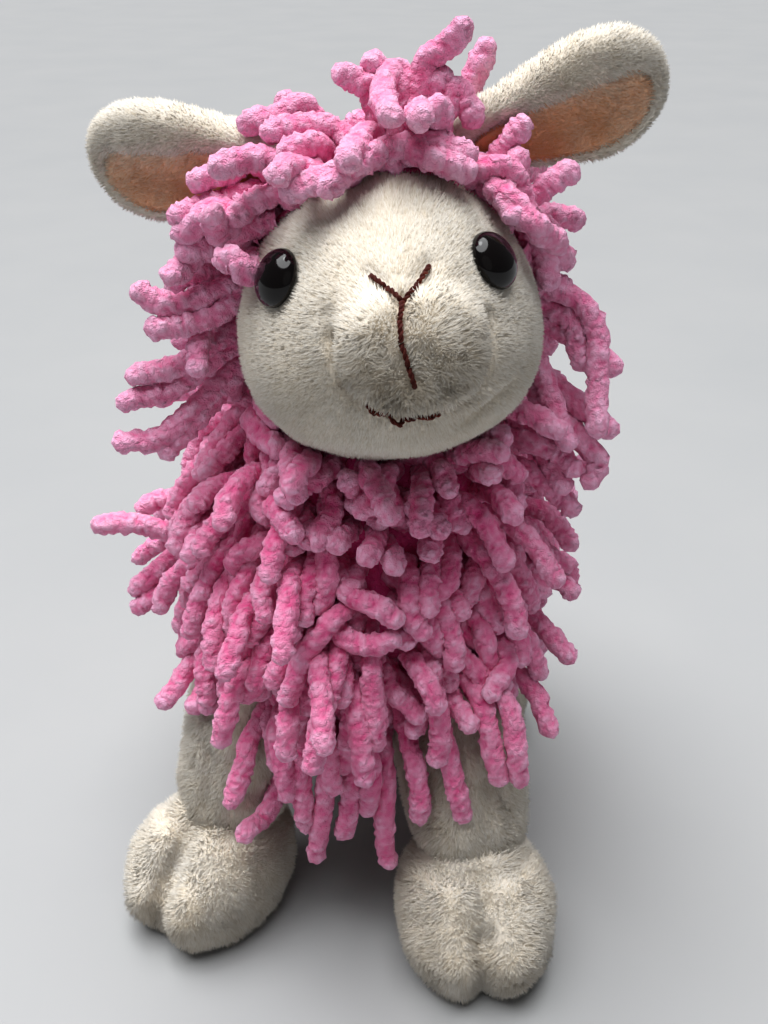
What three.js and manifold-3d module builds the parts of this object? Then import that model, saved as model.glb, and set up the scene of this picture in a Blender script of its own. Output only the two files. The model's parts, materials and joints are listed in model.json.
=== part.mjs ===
// A stuffed toy sheep that stands on its four feet: cream plush face, ears, legs and tail, and a
// fleece of thick pink chenille strands worked through knitted cloth. Millimetres. The sheep faces
// -Y, +X is on the right of someone who looks at its face, and +Z is up.

import * as THREE from 'three';
import { mergeVertices } from 'three/addons/utils/BufferGeometryUtils.js';
import Module from 'manifold-3d';

const wasm = await Module();
wasm.setup();

// Cloth and the room that pieces leave each other
const clearance = 0.35;
const plushThickness = 2;
const backingThickness = 1.6;
const cutOverrun = 6;

// Trunk and neck: half axes and places of two blended ellipsoids, at the outside of the cloth
const trunkHalfWidth = 43;
const trunkHalfLength = 66;
const trunkForward = 8;
const trunkHalfHeight = 44;
const trunkHeight = 108;
const neckHalfWidth = 37;
const neckHalfLength = 35;
const neckHalfHeight = 40;
const neckAside = 4;
const neckFromTrunkForward = 23;
const neckRise = 30;
const coreFromTrunkForward = 13;
const coreRise = 14;
const bodyBlendShare = 8;

// Body panels: the chest lies between two seams, the sides meet along the back, the belly is below
const chestSeamDegrees = 50;
const bellySeamDegrees = -50;
const neckSeamDegrees = 60;
const bellyRows = 3;
const bodyRows = 10;
const napeRows = 2;
const chestColumns = 8;
const sideColumns = 10;
const sideSpreadShare = 0.12;

// Head: an egg that is narrower at the crown, with bumps for muzzle and cheeks and dents for eyes
const headHalfWidth = 37.5;
const headHalfLength = 38;
const headHalfHeight = 38;
const headFromNeckAside = 5;
const headFromNeckForward = 23;
const headRise = 58;
const headRollDegrees = -5;
const headTurnDegrees = 4;
const crownTaperShare = 0.13;
const muzzleProud = 7.2;
const muzzleUpDegrees = -3;
const muzzleWidthShare = 0.56;
const cheekProud = 2.2;
const cheekAcrossDegrees = 58;
const cheekUpDegrees = -24;
const cheekWidthShare = 0.5;
const eyeDent = 1.8;
const eyeDentWidthShare = 0.26;

// Hairline between the face cover and the head fleece, as an angle from the tip of the muzzle
const hairlineMiddleDegrees = 101;
const hairlineSwingDegrees = 34;
const faceRings = 8;
const scalpRings = 6;
const headColumns = 24;

// Eyes: domed buttons on posts, held by washers inside the head
const eyeRadius = 7;
const eyeDomeHeight = 4.4;
const eyeSeatDepth = 0.9;
const eyeSeatRadius = 6;
const eyeSides = 12;
const eyeDomeSteps = 4;
const leftEyeAcrossDegrees = 54;
const leftEyeUpDegrees = 27;
const rightEyeAcrossDegrees = 48;
const rightEyeUpDegrees = 26;
const postRadius = 2;
const postLength = 9;
const washerRadius = 8;
const washerThickness = 1.4;
const washerDepth = 3.6;

// Embroidery on the muzzle, in the plane of the face: across and up from the middle of the head
const threadRadius = 0.8;
const noseAside = 1.8;
const noseArmAcross = 6.9;
const noseArmUp = 20.2;
const noseForkUp = 14.5;
const stemEndUp = -2.5;
const smileAcross = 8.5;
const smileEndUp = -8;
const smileMiddleUp = -11.5;
const threadSteps = 8;
const threadSides = 6;
const bisections = 30;

// Ears
const earLength = 50;
const earWidth = 26;
const earThickness = 7;
const earRootRadius = 7;
const earLiningThickness = 1.2;
const earCup = 4;
const earMiddleShare = 0.52;
const earRootBackShare = 0.28;
const earRootAcrossShare = 0.5;
const earRootUpShare = 0.82;
const leftEarLiftDegrees = 2;
const rightEarLiftDegrees = 15;
const leftEarBackDegrees = 20;
const rightEarBackDegrees = 0;
const earTiltDegrees = 14;
const earSwingDegrees = 20;
const leafArcSteps = 4;
const leafArcShare = 0.62;

// Legs, from a rounded top in the body to the ankle seam
const legTopRadius = 19;
const legMiddleRadius = 20.5;
const ankleRadius = 18;
const legDomeHeight = 13;
const hipDrop = 20;
const frontHipAside = 27;
const frontHipFromTrunkForward = 37;
const hindHipAside = 26;
const hindHipFromTrunkBack = 34;
const ankleHeight = 30;
const legSides = 11;
const legRowShares = [1, 0.75, 0.5, 0.25, 0];
const legDomeShares = [0.33, 0.67];

// Feet
const footHalfWidth = 24.5;
const footHalfLength = 31;
const footHeight = 40;
const footCentreHeight = 15;
const footForward = 11;
const toeCleft = 5;
const cleftWidthShare = 0.2;
const instepShare = 0.42;
const footRings = 8;
const footColumns = 12;
const frontRightFootAside = 35;
const frontLeftFootAside = 42;
const frontRightFootForward = 74;
const frontLeftFootForward = 58;
const frontRightToeOutDegrees = 4;
const frontLeftToeOutDegrees = 30;
const hindFootAside = 37;
const hindFootBack = 34;
const hindToeOutDegrees = 10;

// Tail
const tailLength = 30;
const tailWidth = 15;
const tailRootRadius = 5.5;
const tailSides = 9;
const tailArcSteps = 4;
const tailUpDegrees = -4;
const tailDroopDegrees = 18;
const tailDropDegrees = 15;
const tailLiftDegrees = 25;

// Chenille strands
const strandRadius = 2.9;
const strandLength = 34;
const crownStrandLength = 32;
const strandRise = 6;
const strandProbe = 2.4;
const rootRoom = 1;
const tipShare = 0.72;
const firstProbeShare = 0.78;
const foldShare = 0.75;
const combShare = 0.5;
const droopShare = 0.6;
const strandLengthShares = [1, 0.84, 0.68, 0.54, 0.42];
const strandSagShares = [1, 0.7, 0.4, 0];
const rootProbeShares = [0, 0.35, 0.7, 1];

// How far each try at a strand leans across and up its patch of cloth
const strandLeanShares = [[0, 0], [0, -0.6], [0.5, -0.3], [-0.5, -0.3], [0.7, 0], [-0.7, 0], [0, 0.6]];

const axisX = new THREE.Vector3(1, 0, 0);
const axisY = new THREE.Vector3(0, 1, 0);
const axisZ = new THREE.Vector3(0, 0, 1);
const radians = THREE.MathUtils.degToRad;

const plush = new THREE.MeshStandardMaterial({ color: 0xe9dfc8, roughness: 0.95, metalness: 0 });
const lining = new THREE.MeshStandardMaterial({ color: 0xe3b184, roughness: 0.9, metalness: 0 });
const chenille = new THREE.MeshStandardMaterial({ color: 0xe87fae, roughness: 0.9, metalness: 0 });
const fibre = new THREE.MeshStandardMaterial({ color: 0xf6f5f0, roughness: 1, metalness: 0 });
const eyePlastic = new THREE.MeshStandardMaterial({ color: 0x0b0a0a, roughness: 0.12, metalness: 0 });
const washerPlastic = new THREE.MeshStandardMaterial({ color: 0xe8e8e6, roughness: 0.5, metalness: 0 });
const thread = new THREE.MeshStandardMaterial({ color: 0x5a2018, roughness: 0.75, metalness: 0 });

const sheep = new THREE.Group();

function addPiece(name, geometry, material, parent = sheep) {
  const mesh = new THREE.Mesh(geometry, material);
  mesh.name = name;
  parent.add(mesh);
  return mesh;
}

// Booleans

function solidOf(geometry) {
  const bare = geometry.clone();
  bare.deleteAttribute('normal');
  bare.deleteAttribute('uv');
  const merged = mergeVertices(bare);
  const vertProperties = new Float32Array(merged.attributes.position.array);
  const triVerts = new Uint32Array(merged.index.array);
  return new wasm.Manifold(new wasm.Mesh({ numProp: 3, vertProperties, triVerts }));
}

function geometryOf(solid) {
  const mesh = solid.getMesh();
  const geometry = new THREE.BufferGeometry();
  geometry.setAttribute('position', new THREE.BufferAttribute(mesh.vertProperties, mesh.numProp));
  geometry.setIndex(new THREE.BufferAttribute(mesh.triVerts, 1));
  return geometry;
}

// Closed meshes, built from named corners so that neighbours share them

class Skin {
  constructor() {
    this.corners = [];
    this.faces = [];
  }

  corner(point) {
    this.corners.push(point.x, point.y, point.z);
    return this.corners.length / 3 - 1;
  }

  quad(a, b, c, d) {
    this.faces.push(a, b, c, a, c, d);
  }

  triangle(a, b, c) {
    this.faces.push(a, b, c);
  }

  geometry() {
    const geometry = new THREE.BufferGeometry();
    geometry.setAttribute('position', new THREE.Float32BufferAttribute(this.corners, 3));
    geometry.setIndex(this.faces);
    return geometry;
  }
}

// A grid of corners on one surface. A row that is a pole has one corner, and a grid that wraps
// uses its first column again as its last.
function gridCorners(skin, grid, depth) {
  const rows = [];
  for (let row = 0; row <= grid.rows; row += 1) {
    const isPole = (row === 0 && grid.poleFirst) || (row === grid.rows && grid.poleLast);
    const corners = [];
    for (let column = 0; column <= grid.columns; column += 1) {
      const repeats = isPole ? column > 0 : grid.wraps && column === grid.columns;
      corners.push(repeats ? corners[0] : skin.corner(grid.at(row, column, depth)));
    }
    rows.push(corners);
  }
  return rows;
}

function cellOf(corners, row, column) {
  return [
    corners[row][column],
    corners[row][column + 1],
    corners[row + 1][column + 1],
    corners[row + 1][column],
  ];
}

function cover(skin, grid, cell, row) {
  const [a, b, c, d] = cell;
  if (row === 0 && grid.poleFirst) {
    skin.triangle(a, c, d);
  } else if (row === grid.rows - 1 && grid.poleLast) {
    skin.triangle(a, b, c);
  } else {
    skin.quad(a, b, c, d);
  }
}

function coverInside(skin, grid, cell, row) {
  const [a, b, c, d] = cell;
  if (row === 0 && grid.poleFirst) {
    skin.triangle(a, d, c);
  } else if (row === grid.rows - 1 && grid.poleLast) {
    skin.triangle(a, c, b);
  } else {
    skin.quad(a, d, c, b);
  }
}

// A closed solid inside one surface that has a pole at each end
function gridSolid(grid, depth) {
  const skin = new Skin();
  const corners = gridCorners(skin, grid, depth);
  for (let row = 0; row < grid.rows; row += 1) {
    for (let column = 0; column < grid.columns; column += 1) {
      cover(skin, grid, cellOf(corners, row, column), row);
    }
  }
  return skin.geometry();
}

// A piece of cloth of even thickness. Where sprout returns true it has drawn the outside of a cell.
function cloth(grid, thickness, sprout = () => false) {
  const skin = new Skin();
  const outer = gridCorners(skin, grid, 0);
  const inner = gridCorners(skin, grid, thickness);
  const rim = (row, column, nextRow, nextColumn) => {
    const from = outer[row][column];
    const to = outer[nextRow][nextColumn];
    skin.quad(to, from, inner[row][column], inner[nextRow][nextColumn]);
  };
  for (let row = 0; row < grid.rows; row += 1) {
    for (let column = 0; column < grid.columns; column += 1) {
      const cell = cellOf(outer, row, column);
      if (!sprout(skin, cell, row, column)) {
        cover(skin, grid, cell, row);
      }
      coverInside(skin, grid, cellOf(inner, row, column), row);
    }
  }
  for (let column = 0; column < grid.columns; column += 1) {
    if (!grid.poleFirst) {
      rim(0, column, 0, column + 1);
    }
    if (!grid.poleLast) {
      rim(grid.rows, column + 1, grid.rows, column);
    }
  }
  for (let row = 0; row < grid.rows && !grid.wraps; row += 1) {
    rim(row + 1, 0, row, 0);
    rim(row, grid.columns, row + 1, grid.columns);
  }
  return skin.geometry();
}

// Rounded forms, each told by how far its surface lies from a centre in every direction

function surfacePoint(form, direction, grow) {
  const reach = form.reach(direction) + grow;
  const point = direction.clone().multiplyScalar(reach);
  point.applyQuaternion(form.turn).add(form.centre);
  if (form.stands) {
    point.z = Math.max(point.z, -grow);
  }
  return point;
}

function isInside(form, point, margin) {
  const offset = point.clone().sub(form.centre).applyQuaternion(form.turn.clone().invert());
  const distance = offset.length();
  return distance < form.reach(offset.normalize()) + margin;
}

function surfaceNormal(form, direction) {
  const step = radians(1);
  const aside = new THREE.Vector3().crossVectors(direction, axisZ).normalize();
  const above = new THREE.Vector3().crossVectors(aside, direction).normalize();
  const here = surfacePoint(form, direction, 0);
  const along = surfacePoint(form, direction.clone().applyAxisAngle(above, step), 0).sub(here);
  const across = surfacePoint(form, direction.clone().applyAxisAngle(aside, step), 0).sub(here);
  const normal = new THREE.Vector3().crossVectors(along, across).normalize();
  const outward = here.sub(form.centre);
  return normal.dot(outward) < 0 ? normal.negate() : normal;
}

// 1 at the middle of a bump and 0 well outside it
function bump(direction, middle, widthShare) {
  return Math.exp(-direction.distanceToSquared(middle) / (widthShare * widthShare));
}

// How far along a direction a point leaves an ellipsoid that it starts in
function exitDistance(start, direction, centre, halfSizes) {
  const from = start.clone().sub(centre).divide(halfSizes);
  const along = direction.clone().divide(halfSizes);
  const a = along.lengthSq();
  const b = from.dot(along);
  return (Math.sqrt(b * b - a * (from.lengthSq() - 1)) - b) / a;
}

const trunkCentre = new THREE.Vector3(0, -trunkForward, trunkHeight);

const body = {
  centre: trunkCentre.clone().add(new THREE.Vector3(0, -coreFromTrunkForward, coreRise)),
  turn: new THREE.Quaternion(),
  trunkCentre,
  trunkHalfSizes: new THREE.Vector3(trunkHalfWidth, trunkHalfLength, trunkHalfHeight),
  neckCentre: trunkCentre.clone().add(new THREE.Vector3(neckAside, -neckFromTrunkForward, neckRise)),
  neckHalfSizes: new THREE.Vector3(neckHalfWidth, neckHalfLength, neckHalfHeight),
  reach(direction) {
    const trunk = exitDistance(this.centre, direction, this.trunkCentre, this.trunkHalfSizes);
    const neck = exitDistance(this.centre, direction, this.neckCentre, this.neckHalfSizes);
    return (trunk ** bodyBlendShare + neck ** bodyBlendShare) ** (1 / bodyBlendShare);
  },
};

function faceDirection(acrossDegrees, upDegrees) {
  const across = radians(acrossDegrees);
  const up = radians(upDegrees);
  return new THREE.Vector3(
    Math.sin(across) * Math.cos(up),
    -Math.cos(across) * Math.cos(up),
    Math.sin(up),
  );
}

const muzzleDirection = faceDirection(0, muzzleUpDegrees);
const cheekDirections = [
  faceDirection(-cheekAcrossDegrees, cheekUpDegrees),
  faceDirection(cheekAcrossDegrees, cheekUpDegrees),
];
const eyeDirections = {
  left: faceDirection(-leftEyeAcrossDegrees, leftEyeUpDegrees),
  right: faceDirection(rightEyeAcrossDegrees, rightEyeUpDegrees),
};

const head = {
  centre: body.neckCentre.clone().add(new THREE.Vector3(headFromNeckAside, -headFromNeckForward, headRise)),
  turn: new THREE.Quaternion()
    .setFromAxisAngle(axisY, radians(headRollDegrees))
    .multiply(new THREE.Quaternion().setFromAxisAngle(axisZ, radians(headTurnDegrees))),
  reach(direction) {
    const across = direction.x / (headHalfWidth * (1 - crownTaperShare * direction.z));
    const along = direction.y / headHalfLength;
    const up = direction.z / headHalfHeight;
    let reach = 1 / Math.sqrt(across * across + along * along + up * up);
    reach += muzzleProud * bump(direction, muzzleDirection, muzzleWidthShare);
    for (const cheek of cheekDirections) {
      reach += cheekProud * bump(direction, cheek, cheekWidthShare);
    }
    for (const eye of Object.values(eyeDirections)) {
      reach -= eyeDent * bump(direction, eye, eyeDentWidthShare);
    }
    return reach;
  },
};

function makeFoot(aside, forward, headingDegrees) {
  const turn = new THREE.Quaternion().setFromAxisAngle(axisZ, radians(headingDegrees));
  const toeward = new THREE.Vector3(0, -footForward, 0).applyQuaternion(turn);
  return {
    centre: new THREE.Vector3(aside, -forward, footCentreHeight).add(toeward),
    ankle: new THREE.Vector3(aside, -forward, ankleHeight),
    turn,
    stands: true,
    reach(direction) {
      const instep = direction.y > 0 ? 1 : 1 - instepShare * direction.y * direction.y;
      const rise = direction.z > 0 ? (footHeight - footCentreHeight) * instep : footHalfWidth;
      const across = direction.x / footHalfWidth;
      const along = direction.y / footHalfLength;
      const up = direction.z / rise;
      const reach = 1 / Math.sqrt(across * across + along * along + up * up);
      const front = Math.max(0, -direction.y) ** 2;
      return reach - toeCleft * front * Math.exp(-((direction.x / cleftWidthShare) ** 2));
    },
  };
}

// Polar grid round a form, from the pole in front of it to the pole behind it
function polarDirection(theta, psi) {
  return new THREE.Vector3(
    Math.sin(theta) * Math.sin(psi),
    -Math.cos(theta),
    Math.sin(theta) * Math.cos(psi),
  );
}

function footGrid(foot) {
  return {
    rows: footRings,
    columns: footColumns,
    wraps: true,
    poleFirst: true,
    poleLast: true,
    at(row, column, depth) {
      const theta = (Math.PI * row) / footRings;
      const psi = (2 * Math.PI * column) / footColumns;
      return surfacePoint(foot, polarDirection(theta, psi), -depth);
    },
  };
}

// Body grid: columns run round the body from the middle of the back by way of the viewer's left

const seamHalfAngle = clearance / 2 / trunkHalfWidth;

function sideAngle(share) {
  const spread = share + sideSpreadShare * Math.sin(Math.PI * share);
  return radians(chestSeamDegrees + (180 - chestSeamDegrees) * spread);
}

function bodyDirection(across, up) {
  return new THREE.Vector3(
    Math.cos(up) * Math.sin(across),
    -Math.cos(up) * Math.cos(across),
    Math.sin(up),
  );
}

function bodyAngleUp(row) {
  const belly = radians(bellySeamDegrees);
  const nape = radians(neckSeamDegrees);
  if (row < bellyRows) {
    return -Math.PI / 2 + ((belly + Math.PI / 2) * row) / bellyRows;
  }
  if (row <= bellyRows + bodyRows) {
    return belly + ((nape - belly) * (row - bellyRows)) / bodyRows;
  }
  return nape + ((Math.PI / 2 - nape) * (row - bellyRows - bodyRows)) / napeRows;
}

// Column 0 is the seam along the back, then the left side, the chest and the right side
function bodyAngleAcross(column) {
  const onChest = column - sideColumns;
  if (onChest < 0) {
    return -sideAngle(-onChest / sideColumns);
  }
  if (onChest <= chestColumns) {
    return radians(chestSeamDegrees * ((2 * onChest) / chestColumns - 1));
  }
  return sideAngle((onChest - chestColumns) / sideColumns);
}

const bodyColumns = 2 * sideColumns + chestColumns;

// Part of the body grid. Each edge that is a seam steps back by half the clearance.
function bodyPanel(firstRow, lastRow, firstColumn, lastColumn) {
  return {
    rows: lastRow - firstRow,
    columns: lastColumn - firstColumn,
    wraps: lastColumn - firstColumn === bodyColumns,
    poleFirst: firstRow === 0,
    poleLast: lastRow === bellyRows + bodyRows + napeRows,
    at(row, column, depth) {
      let across = bodyAngleAcross(firstColumn + column);
      let up = bodyAngleUp(firstRow + row);
      if (!this.wraps && column === 0) {
        across += seamHalfAngle;
      }
      if (!this.wraps && column === this.columns) {
        across -= seamHalfAngle;
      }
      if (!this.poleFirst && row === 0) {
        up += seamHalfAngle;
      }
      if (!this.poleLast && row === this.rows) {
        up -= seamHalfAngle;
      }
      return surfacePoint(body, bodyDirection(across, up), -depth);
    },
  };
}

// Head grid: rings from the muzzle to the back of the head, columns round from the crown

function hairlineAngle(psi) {
  return radians(hairlineMiddleDegrees - hairlineSwingDegrees * Math.cos(psi));
}

function headPanel(firstRing, lastRing) {
  const seamAngle = clearance / 2 / headHalfHeight;
  return {
    rows: lastRing - firstRing,
    columns: headColumns,
    wraps: true,
    poleFirst: firstRing === 0,
    poleLast: lastRing === faceRings + scalpRings,
    at(row, column, depth) {
      const ring = firstRing + row;
      const psi = (2 * Math.PI * column) / headColumns;
      const hairline = hairlineAngle(psi);
      let theta = (hairline * ring) / faceRings;
      if (ring > faceRings) {
        theta = hairline + ((Math.PI - hairline) * (ring - faceRings)) / scalpRings;
      }
      if (!this.poleFirst && row === 0) {
        theta += seamAngle;
      }
      if (!this.poleLast && row === this.rows) {
        theta -= seamAngle;
      }
      return surfacePoint(head, polarDirection(theta, psi), -depth);
    },
  };
}

// Legs

function makeLeg(name, hip, foot) {
  const axis = foot.ankle.clone().sub(hip);
  return { name, hip, foot, axis, length: axis.length() };
}

function legRadius(share) {
  if (share < 0.5) {
    return THREE.MathUtils.lerp(legTopRadius, legMiddleRadius, share * 2);
  }
  return THREE.MathUtils.lerp(legMiddleRadius, ankleRadius, share * 2 - 1);
}

// Outline of one side of a leg, from its end in the foot to the middle of its domed top
function legLine(leg, grow, overrun) {
  const line = [new THREE.Vector2(0, -overrun)];
  for (const share of legRowShares) {
    line.push(new THREE.Vector2(legRadius(share) + grow, (1 - share) * leg.length));
  }
  line[1].y -= overrun;
  for (const share of legDomeShares) {
    const angle = (Math.PI / 2) * share;
    const radius = (legTopRadius + grow) * Math.cos(angle);
    line.push(new THREE.Vector2(radius, leg.length + (legDomeHeight + grow) * Math.sin(angle)));
  }
  line.push(new THREE.Vector2(0, leg.length + legDomeHeight + grow));
  return line;
}

function placeAlongLeg(geometry, leg) {
  const up = leg.axis.clone().negate().normalize();
  const turn = new THREE.Quaternion().setFromUnitVectors(axisY, up);
  return geometry.applyQuaternion(turn).translate(leg.foot.ankle.x, leg.foot.ankle.y, leg.foot.ankle.z);
}

function legSolid(leg, grow, overrun) {
  return solidOf(placeAlongLeg(new THREE.LatheGeometry(legLine(leg, grow, overrun), legSides), leg));
}

// A hip, from the middle of the trunk
function hipPoint(aside, forward) {
  return trunkCentre.clone().add(new THREE.Vector3(aside, -forward, -hipDrop));
}

const legs = [
  makeLeg(
    'front_left',
    hipPoint(-frontHipAside, frontHipFromTrunkForward),
    makeFoot(-frontLeftFootAside, frontLeftFootForward, -frontLeftToeOutDegrees),
  ),
  makeLeg(
    'front_right',
    hipPoint(frontHipAside, frontHipFromTrunkForward),
    makeFoot(frontRightFootAside, frontRightFootForward, frontRightToeOutDegrees),
  ),
  makeLeg(
    'hind_left',
    hipPoint(-hindHipAside, -hindHipFromTrunkBack),
    makeFoot(-hindFootAside, -hindFootBack, -hindToeOutDegrees),
  ),
  makeLeg(
    'hind_right',
    hipPoint(hindHipAside, -hindHipFromTrunkBack),
    makeFoot(hindFootAside, -hindFootBack, hindToeOutDegrees),
  ),
];

function isInLeg(leg, point, margin) {
  const line = new THREE.Line3(leg.hip, leg.foot.ankle);
  const share = line.closestPointToPointParameter(point, true);
  return line.at(share, new THREE.Vector3()).distanceTo(point) < legRadius(share) + margin;
}

// Flat leaves that swing at a rounded root: ears and tail. In a leaf's own frame +X runs to its
// tip, +Z is across it and -Y is its front.

const earOutlineShares = [
  [0.2, 0.66],
  [0.42, 0.9],
  [0.64, 1],
  [0.82, 0.88],
  [0.94, 0.58],
  [1, 0],
];

function leafOutline(length, width, rootRadius) {
  const upper = [];
  for (let step = 0; step <= leafArcSteps; step += 1) {
    const angle = Math.PI - (Math.PI * leafArcShare * step) / leafArcSteps;
    upper.push(new THREE.Vector2(rootRadius * Math.cos(angle), rootRadius * Math.sin(angle)));
  }
  for (const [along, across] of earOutlineShares) {
    upper.push(new THREE.Vector2(length * along, (width / 2) * across));
  }
  const lower = upper.slice(1, -1).reverse().map((point) => new THREE.Vector2(point.x, -point.y));
  return [...upper, ...lower];
}

// Rows of a leaf shrink towards its middle. Each row has a share of the outline and a height, which
// is negative in front.
function leafGeometry(outline, middle, rows, cup, halfWidth) {
  const grid = {
    rows: rows.length - 1,
    columns: outline.length,
    wraps: true,
    poleFirst: true,
    poleLast: true,
    at(row, column) {
      const [share, height] = rows[row];
      const edge = outline[column % outline.length];
      const x = middle + (edge.x - middle) * share;
      const z = edge.y * share;
      return new THREE.Vector3(x, height - cup * (z / halfWidth) ** 2, z);
    },
  };
  return gridSolid(grid, 0);
}

function leafTurn(sign, lift, tilt) {
  const flip = new THREE.Quaternion().setFromAxisAngle(axisZ, sign < 0 ? Math.PI : 0);
  const raise = new THREE.Quaternion().setFromAxisAngle(axisY, -sign * lift);
  const lean = new THREE.Quaternion().setFromAxisAngle(axisX, tilt);
  return raise.multiply(lean).multiply(flip);
}

// Rows of an ear from its front to its back: a share of the outline, and a height that is a share
// of half the thickness
const earRowShares = [[0, -0.2], [0.5, -0.3], [0.82, -1], [1, 0], [0.82, 0.8], [0.45, 1], [0, 1.05]];

// Rows of the lining in front of the same hollow: its face, then its back
const liningFaceShares = [[0, -0.2], [0.4, -0.28], [0.7, -0.75]];
const liningBackShares = [[0.76, -0.85], [0.5, -0.3], [0, -0.2]];

function earRows(front) {
  const half = earThickness / 2;
  return earRowShares.map(([share, height]) => [share, front * height * half]);
}

function liningRows(front) {
  const half = earThickness / 2;
  const row = (lift) => ([share, height]) => [share, front * (height * half - lift)];
  return [
    ...liningFaceShares.map(row(clearance + earLiningThickness)),
    ...liningBackShares.map(row(clearance)),
  ];
}

function flipFaces(geometry) {
  const index = geometry.index.array;
  for (let at = 0; at < index.length; at += 3) {
    [index[at + 1], index[at + 2]] = [index[at + 2], index[at + 1]];
  }
  return geometry;
}

// Strands of the fleece

const grownStrands = [];
const keepOut = [];

// A repeatable number from -1 to 1 for each seed
const chanceTurnShare = 12.9898;
const chanceStartShare = 4.1414;
const chanceSpreadShare = 43758.5453;

function chance(seed) {
  const wave = Math.sin(seed * chanceTurnShare + chanceStartShare) * chanceSpreadShare;
  return 2 * (wave - Math.floor(wave)) - 1;
}

function strandPath(root, normal, style, lean, sag, length, seed) {
  const scatter = new THREE.Vector3(chance(seed), chance(seed + 0.31), chance(seed + 0.67));
  const down = new THREE.Vector3(0, 0, -sag);
  const path = [root.clone()];
  const steps = [strandRise, (length - strandRise) / 2, (length - strandRise) / 2];
  steps.forEach((step, at) => {
    const heading = normal.clone().multiplyScalar(1 - style.bend * at).add(lean);
    heading.addScaledVector(style.comb, combShare * at).addScaledVector(down, droopShare * at);
    heading.addScaledVector(scatter, style.scatter * at).normalize();
    path.push(path[at].clone().addScaledVector(heading, step));
  });
  return path;
}

function probesAlong(path) {
  const probes = [path[0].clone().lerp(path[1], firstProbeShare)];
  for (let at = 1; at < path.length - 1; at += 1) {
    const span = path[at].distanceTo(path[at + 1]);
    const count = Math.ceil(span / strandProbe);
    for (let step = 0; step <= count; step += 1) {
      probes.push(path[at].clone().lerp(path[at + 1], step / count));
    }
  }
  return probes;
}

// Points on the edges of the wide root of a strand, where it grows out of its cell
function rootProbes(path, corners) {
  const probes = [];
  for (const corner of corners) {
    const top = corner.clone().sub(path[0]).setLength(strandRadius).add(path[1]);
    for (const share of rootProbeShares) {
      probes.push(corner.clone().lerp(top, share));
    }
  }
  return probes;
}

function isClear(path, probes, corners, style) {
  const apart = 2 * strandRadius + clearance;
  const isBlocked = (point, margin) => keepOut.some((blocks) => blocks(point, margin));
  for (const point of rootProbes(path, corners)) {
    if (isBlocked(point, rootRoom) || isInside(style.neighbour, point, rootRoom)) {
      return false;
    }
  }
  for (const probe of probes) {
    if (isBlocked(probe, strandRadius + clearance)) {
      return false;
    }
    if (isInside(body, probe, strandRadius) || isInside(head, probe, strandRadius)) {
      return false;
    }
    for (const other of grownStrands) {
      if (other.some((point) => point.distanceToSquared(probe) < apart * apart)) {
        return false;
      }
    }
  }
  return true;
}

// The longest of a few paths that stays clear of all that is there
function findPath(root, normal, corners, style, seed) {
  const aside = new THREE.Vector3().crossVectors(normal, axisZ).normalize();
  const above = new THREE.Vector3().crossVectors(aside, normal);
  for (const lengthShare of strandLengthShares) {
    for (const sagShare of strandSagShares) {
      for (const [across, up] of strandLeanShares) {
        const lean = aside.clone().multiplyScalar(across).addScaledVector(above, up);
        const length = style.length * lengthShare;
        const path = strandPath(root, normal, style, lean, style.sag * sagShare, length, seed);
        const probes = probesAlong(path);
        const isFolded = path[0].distanceTo(path[path.length - 1]) < foldShare * length;
        if (!isFolded && isClear(path, probes, corners, style)) {
          grownStrands.push(probes);
          return path;
        }
      }
    }
  }
  return null;
}

function strandRing(skin, path, at, frame, radius) {
  const before = path[Math.max(at - 1, 0)];
  const after = path[Math.min(at + 1, path.length - 1)];
  const heading = after.clone().sub(before).normalize();
  const turn = new THREE.Quaternion().setFromUnitVectors(frame.normal, heading);
  const signs = [[-1, -1], [1, -1], [1, 1], [-1, 1]];
  return signs.map(([along, across]) => {
    const offset = frame.along.clone().multiplyScalar(along).addScaledVector(frame.across, across);
    offset.multiplyScalar(radius * Math.SQRT1_2).applyQuaternion(turn);
    return skin.corner(path[at].clone().add(offset));
  });
}

function cellFrame(skin, cell) {
  const [a, b, c, d] = cell.map((corner) => new THREE.Vector3().fromArray(skin.corners, corner * 3));
  const centre = a.clone().add(b).add(c).add(d).multiplyScalar(0.25);
  const along = b.clone().sub(a).add(c).sub(d).normalize();
  const up = d.clone().sub(a).add(c).sub(b);
  const normal = new THREE.Vector3().crossVectors(along, up).normalize();
  const across = new THREE.Vector3().crossVectors(normal, along);
  return { centre, along, across, normal, corners: [a, b, c, d] };
}

// Draws a strand that grows out of a cell of the backing, its root as wide as the cell
function sproutStrand(style) {
  return (skin, cell, row, column) => {
    if (new Set(cell).size < cell.length) {
      return false;
    }
    const frame = cellFrame(skin, cell);
    const seed = 17 * row + column + style.seed;
    const path = findPath(frame.centre, frame.normal, frame.corners, style, seed);
    if (!path) {
      return false;
    }
    const radii = [0, strandRadius, strandRadius, strandRadius * tipShare];
    let ring = cell;
    for (let at = 1; at < path.length; at += 1) {
      const next = strandRing(skin, path, at, frame, radii[at]);
      for (let side = 0; side < ring.length; side += 1) {
        const other = (side + 1) % ring.length;
        skin.quad(ring[side], ring[other], next[other], next[side]);
      }
      ring = next;
    }
    skin.quad(...ring);
    return true;
  };
}

// Inner forms and cutters

const bodyGrid = bodyPanel(0, bellyRows + bodyRows + napeRows, 0, bodyColumns);
const headGrid = headPanel(0, faceRings + scalpRings);
const bodyCutter = solidOf(gridSolid(bodyGrid, -clearance));
const headFrame = new THREE.Group();
headFrame.position.copy(head.centre);
headFrame.quaternion.copy(head.turn);

// Limbs

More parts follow.
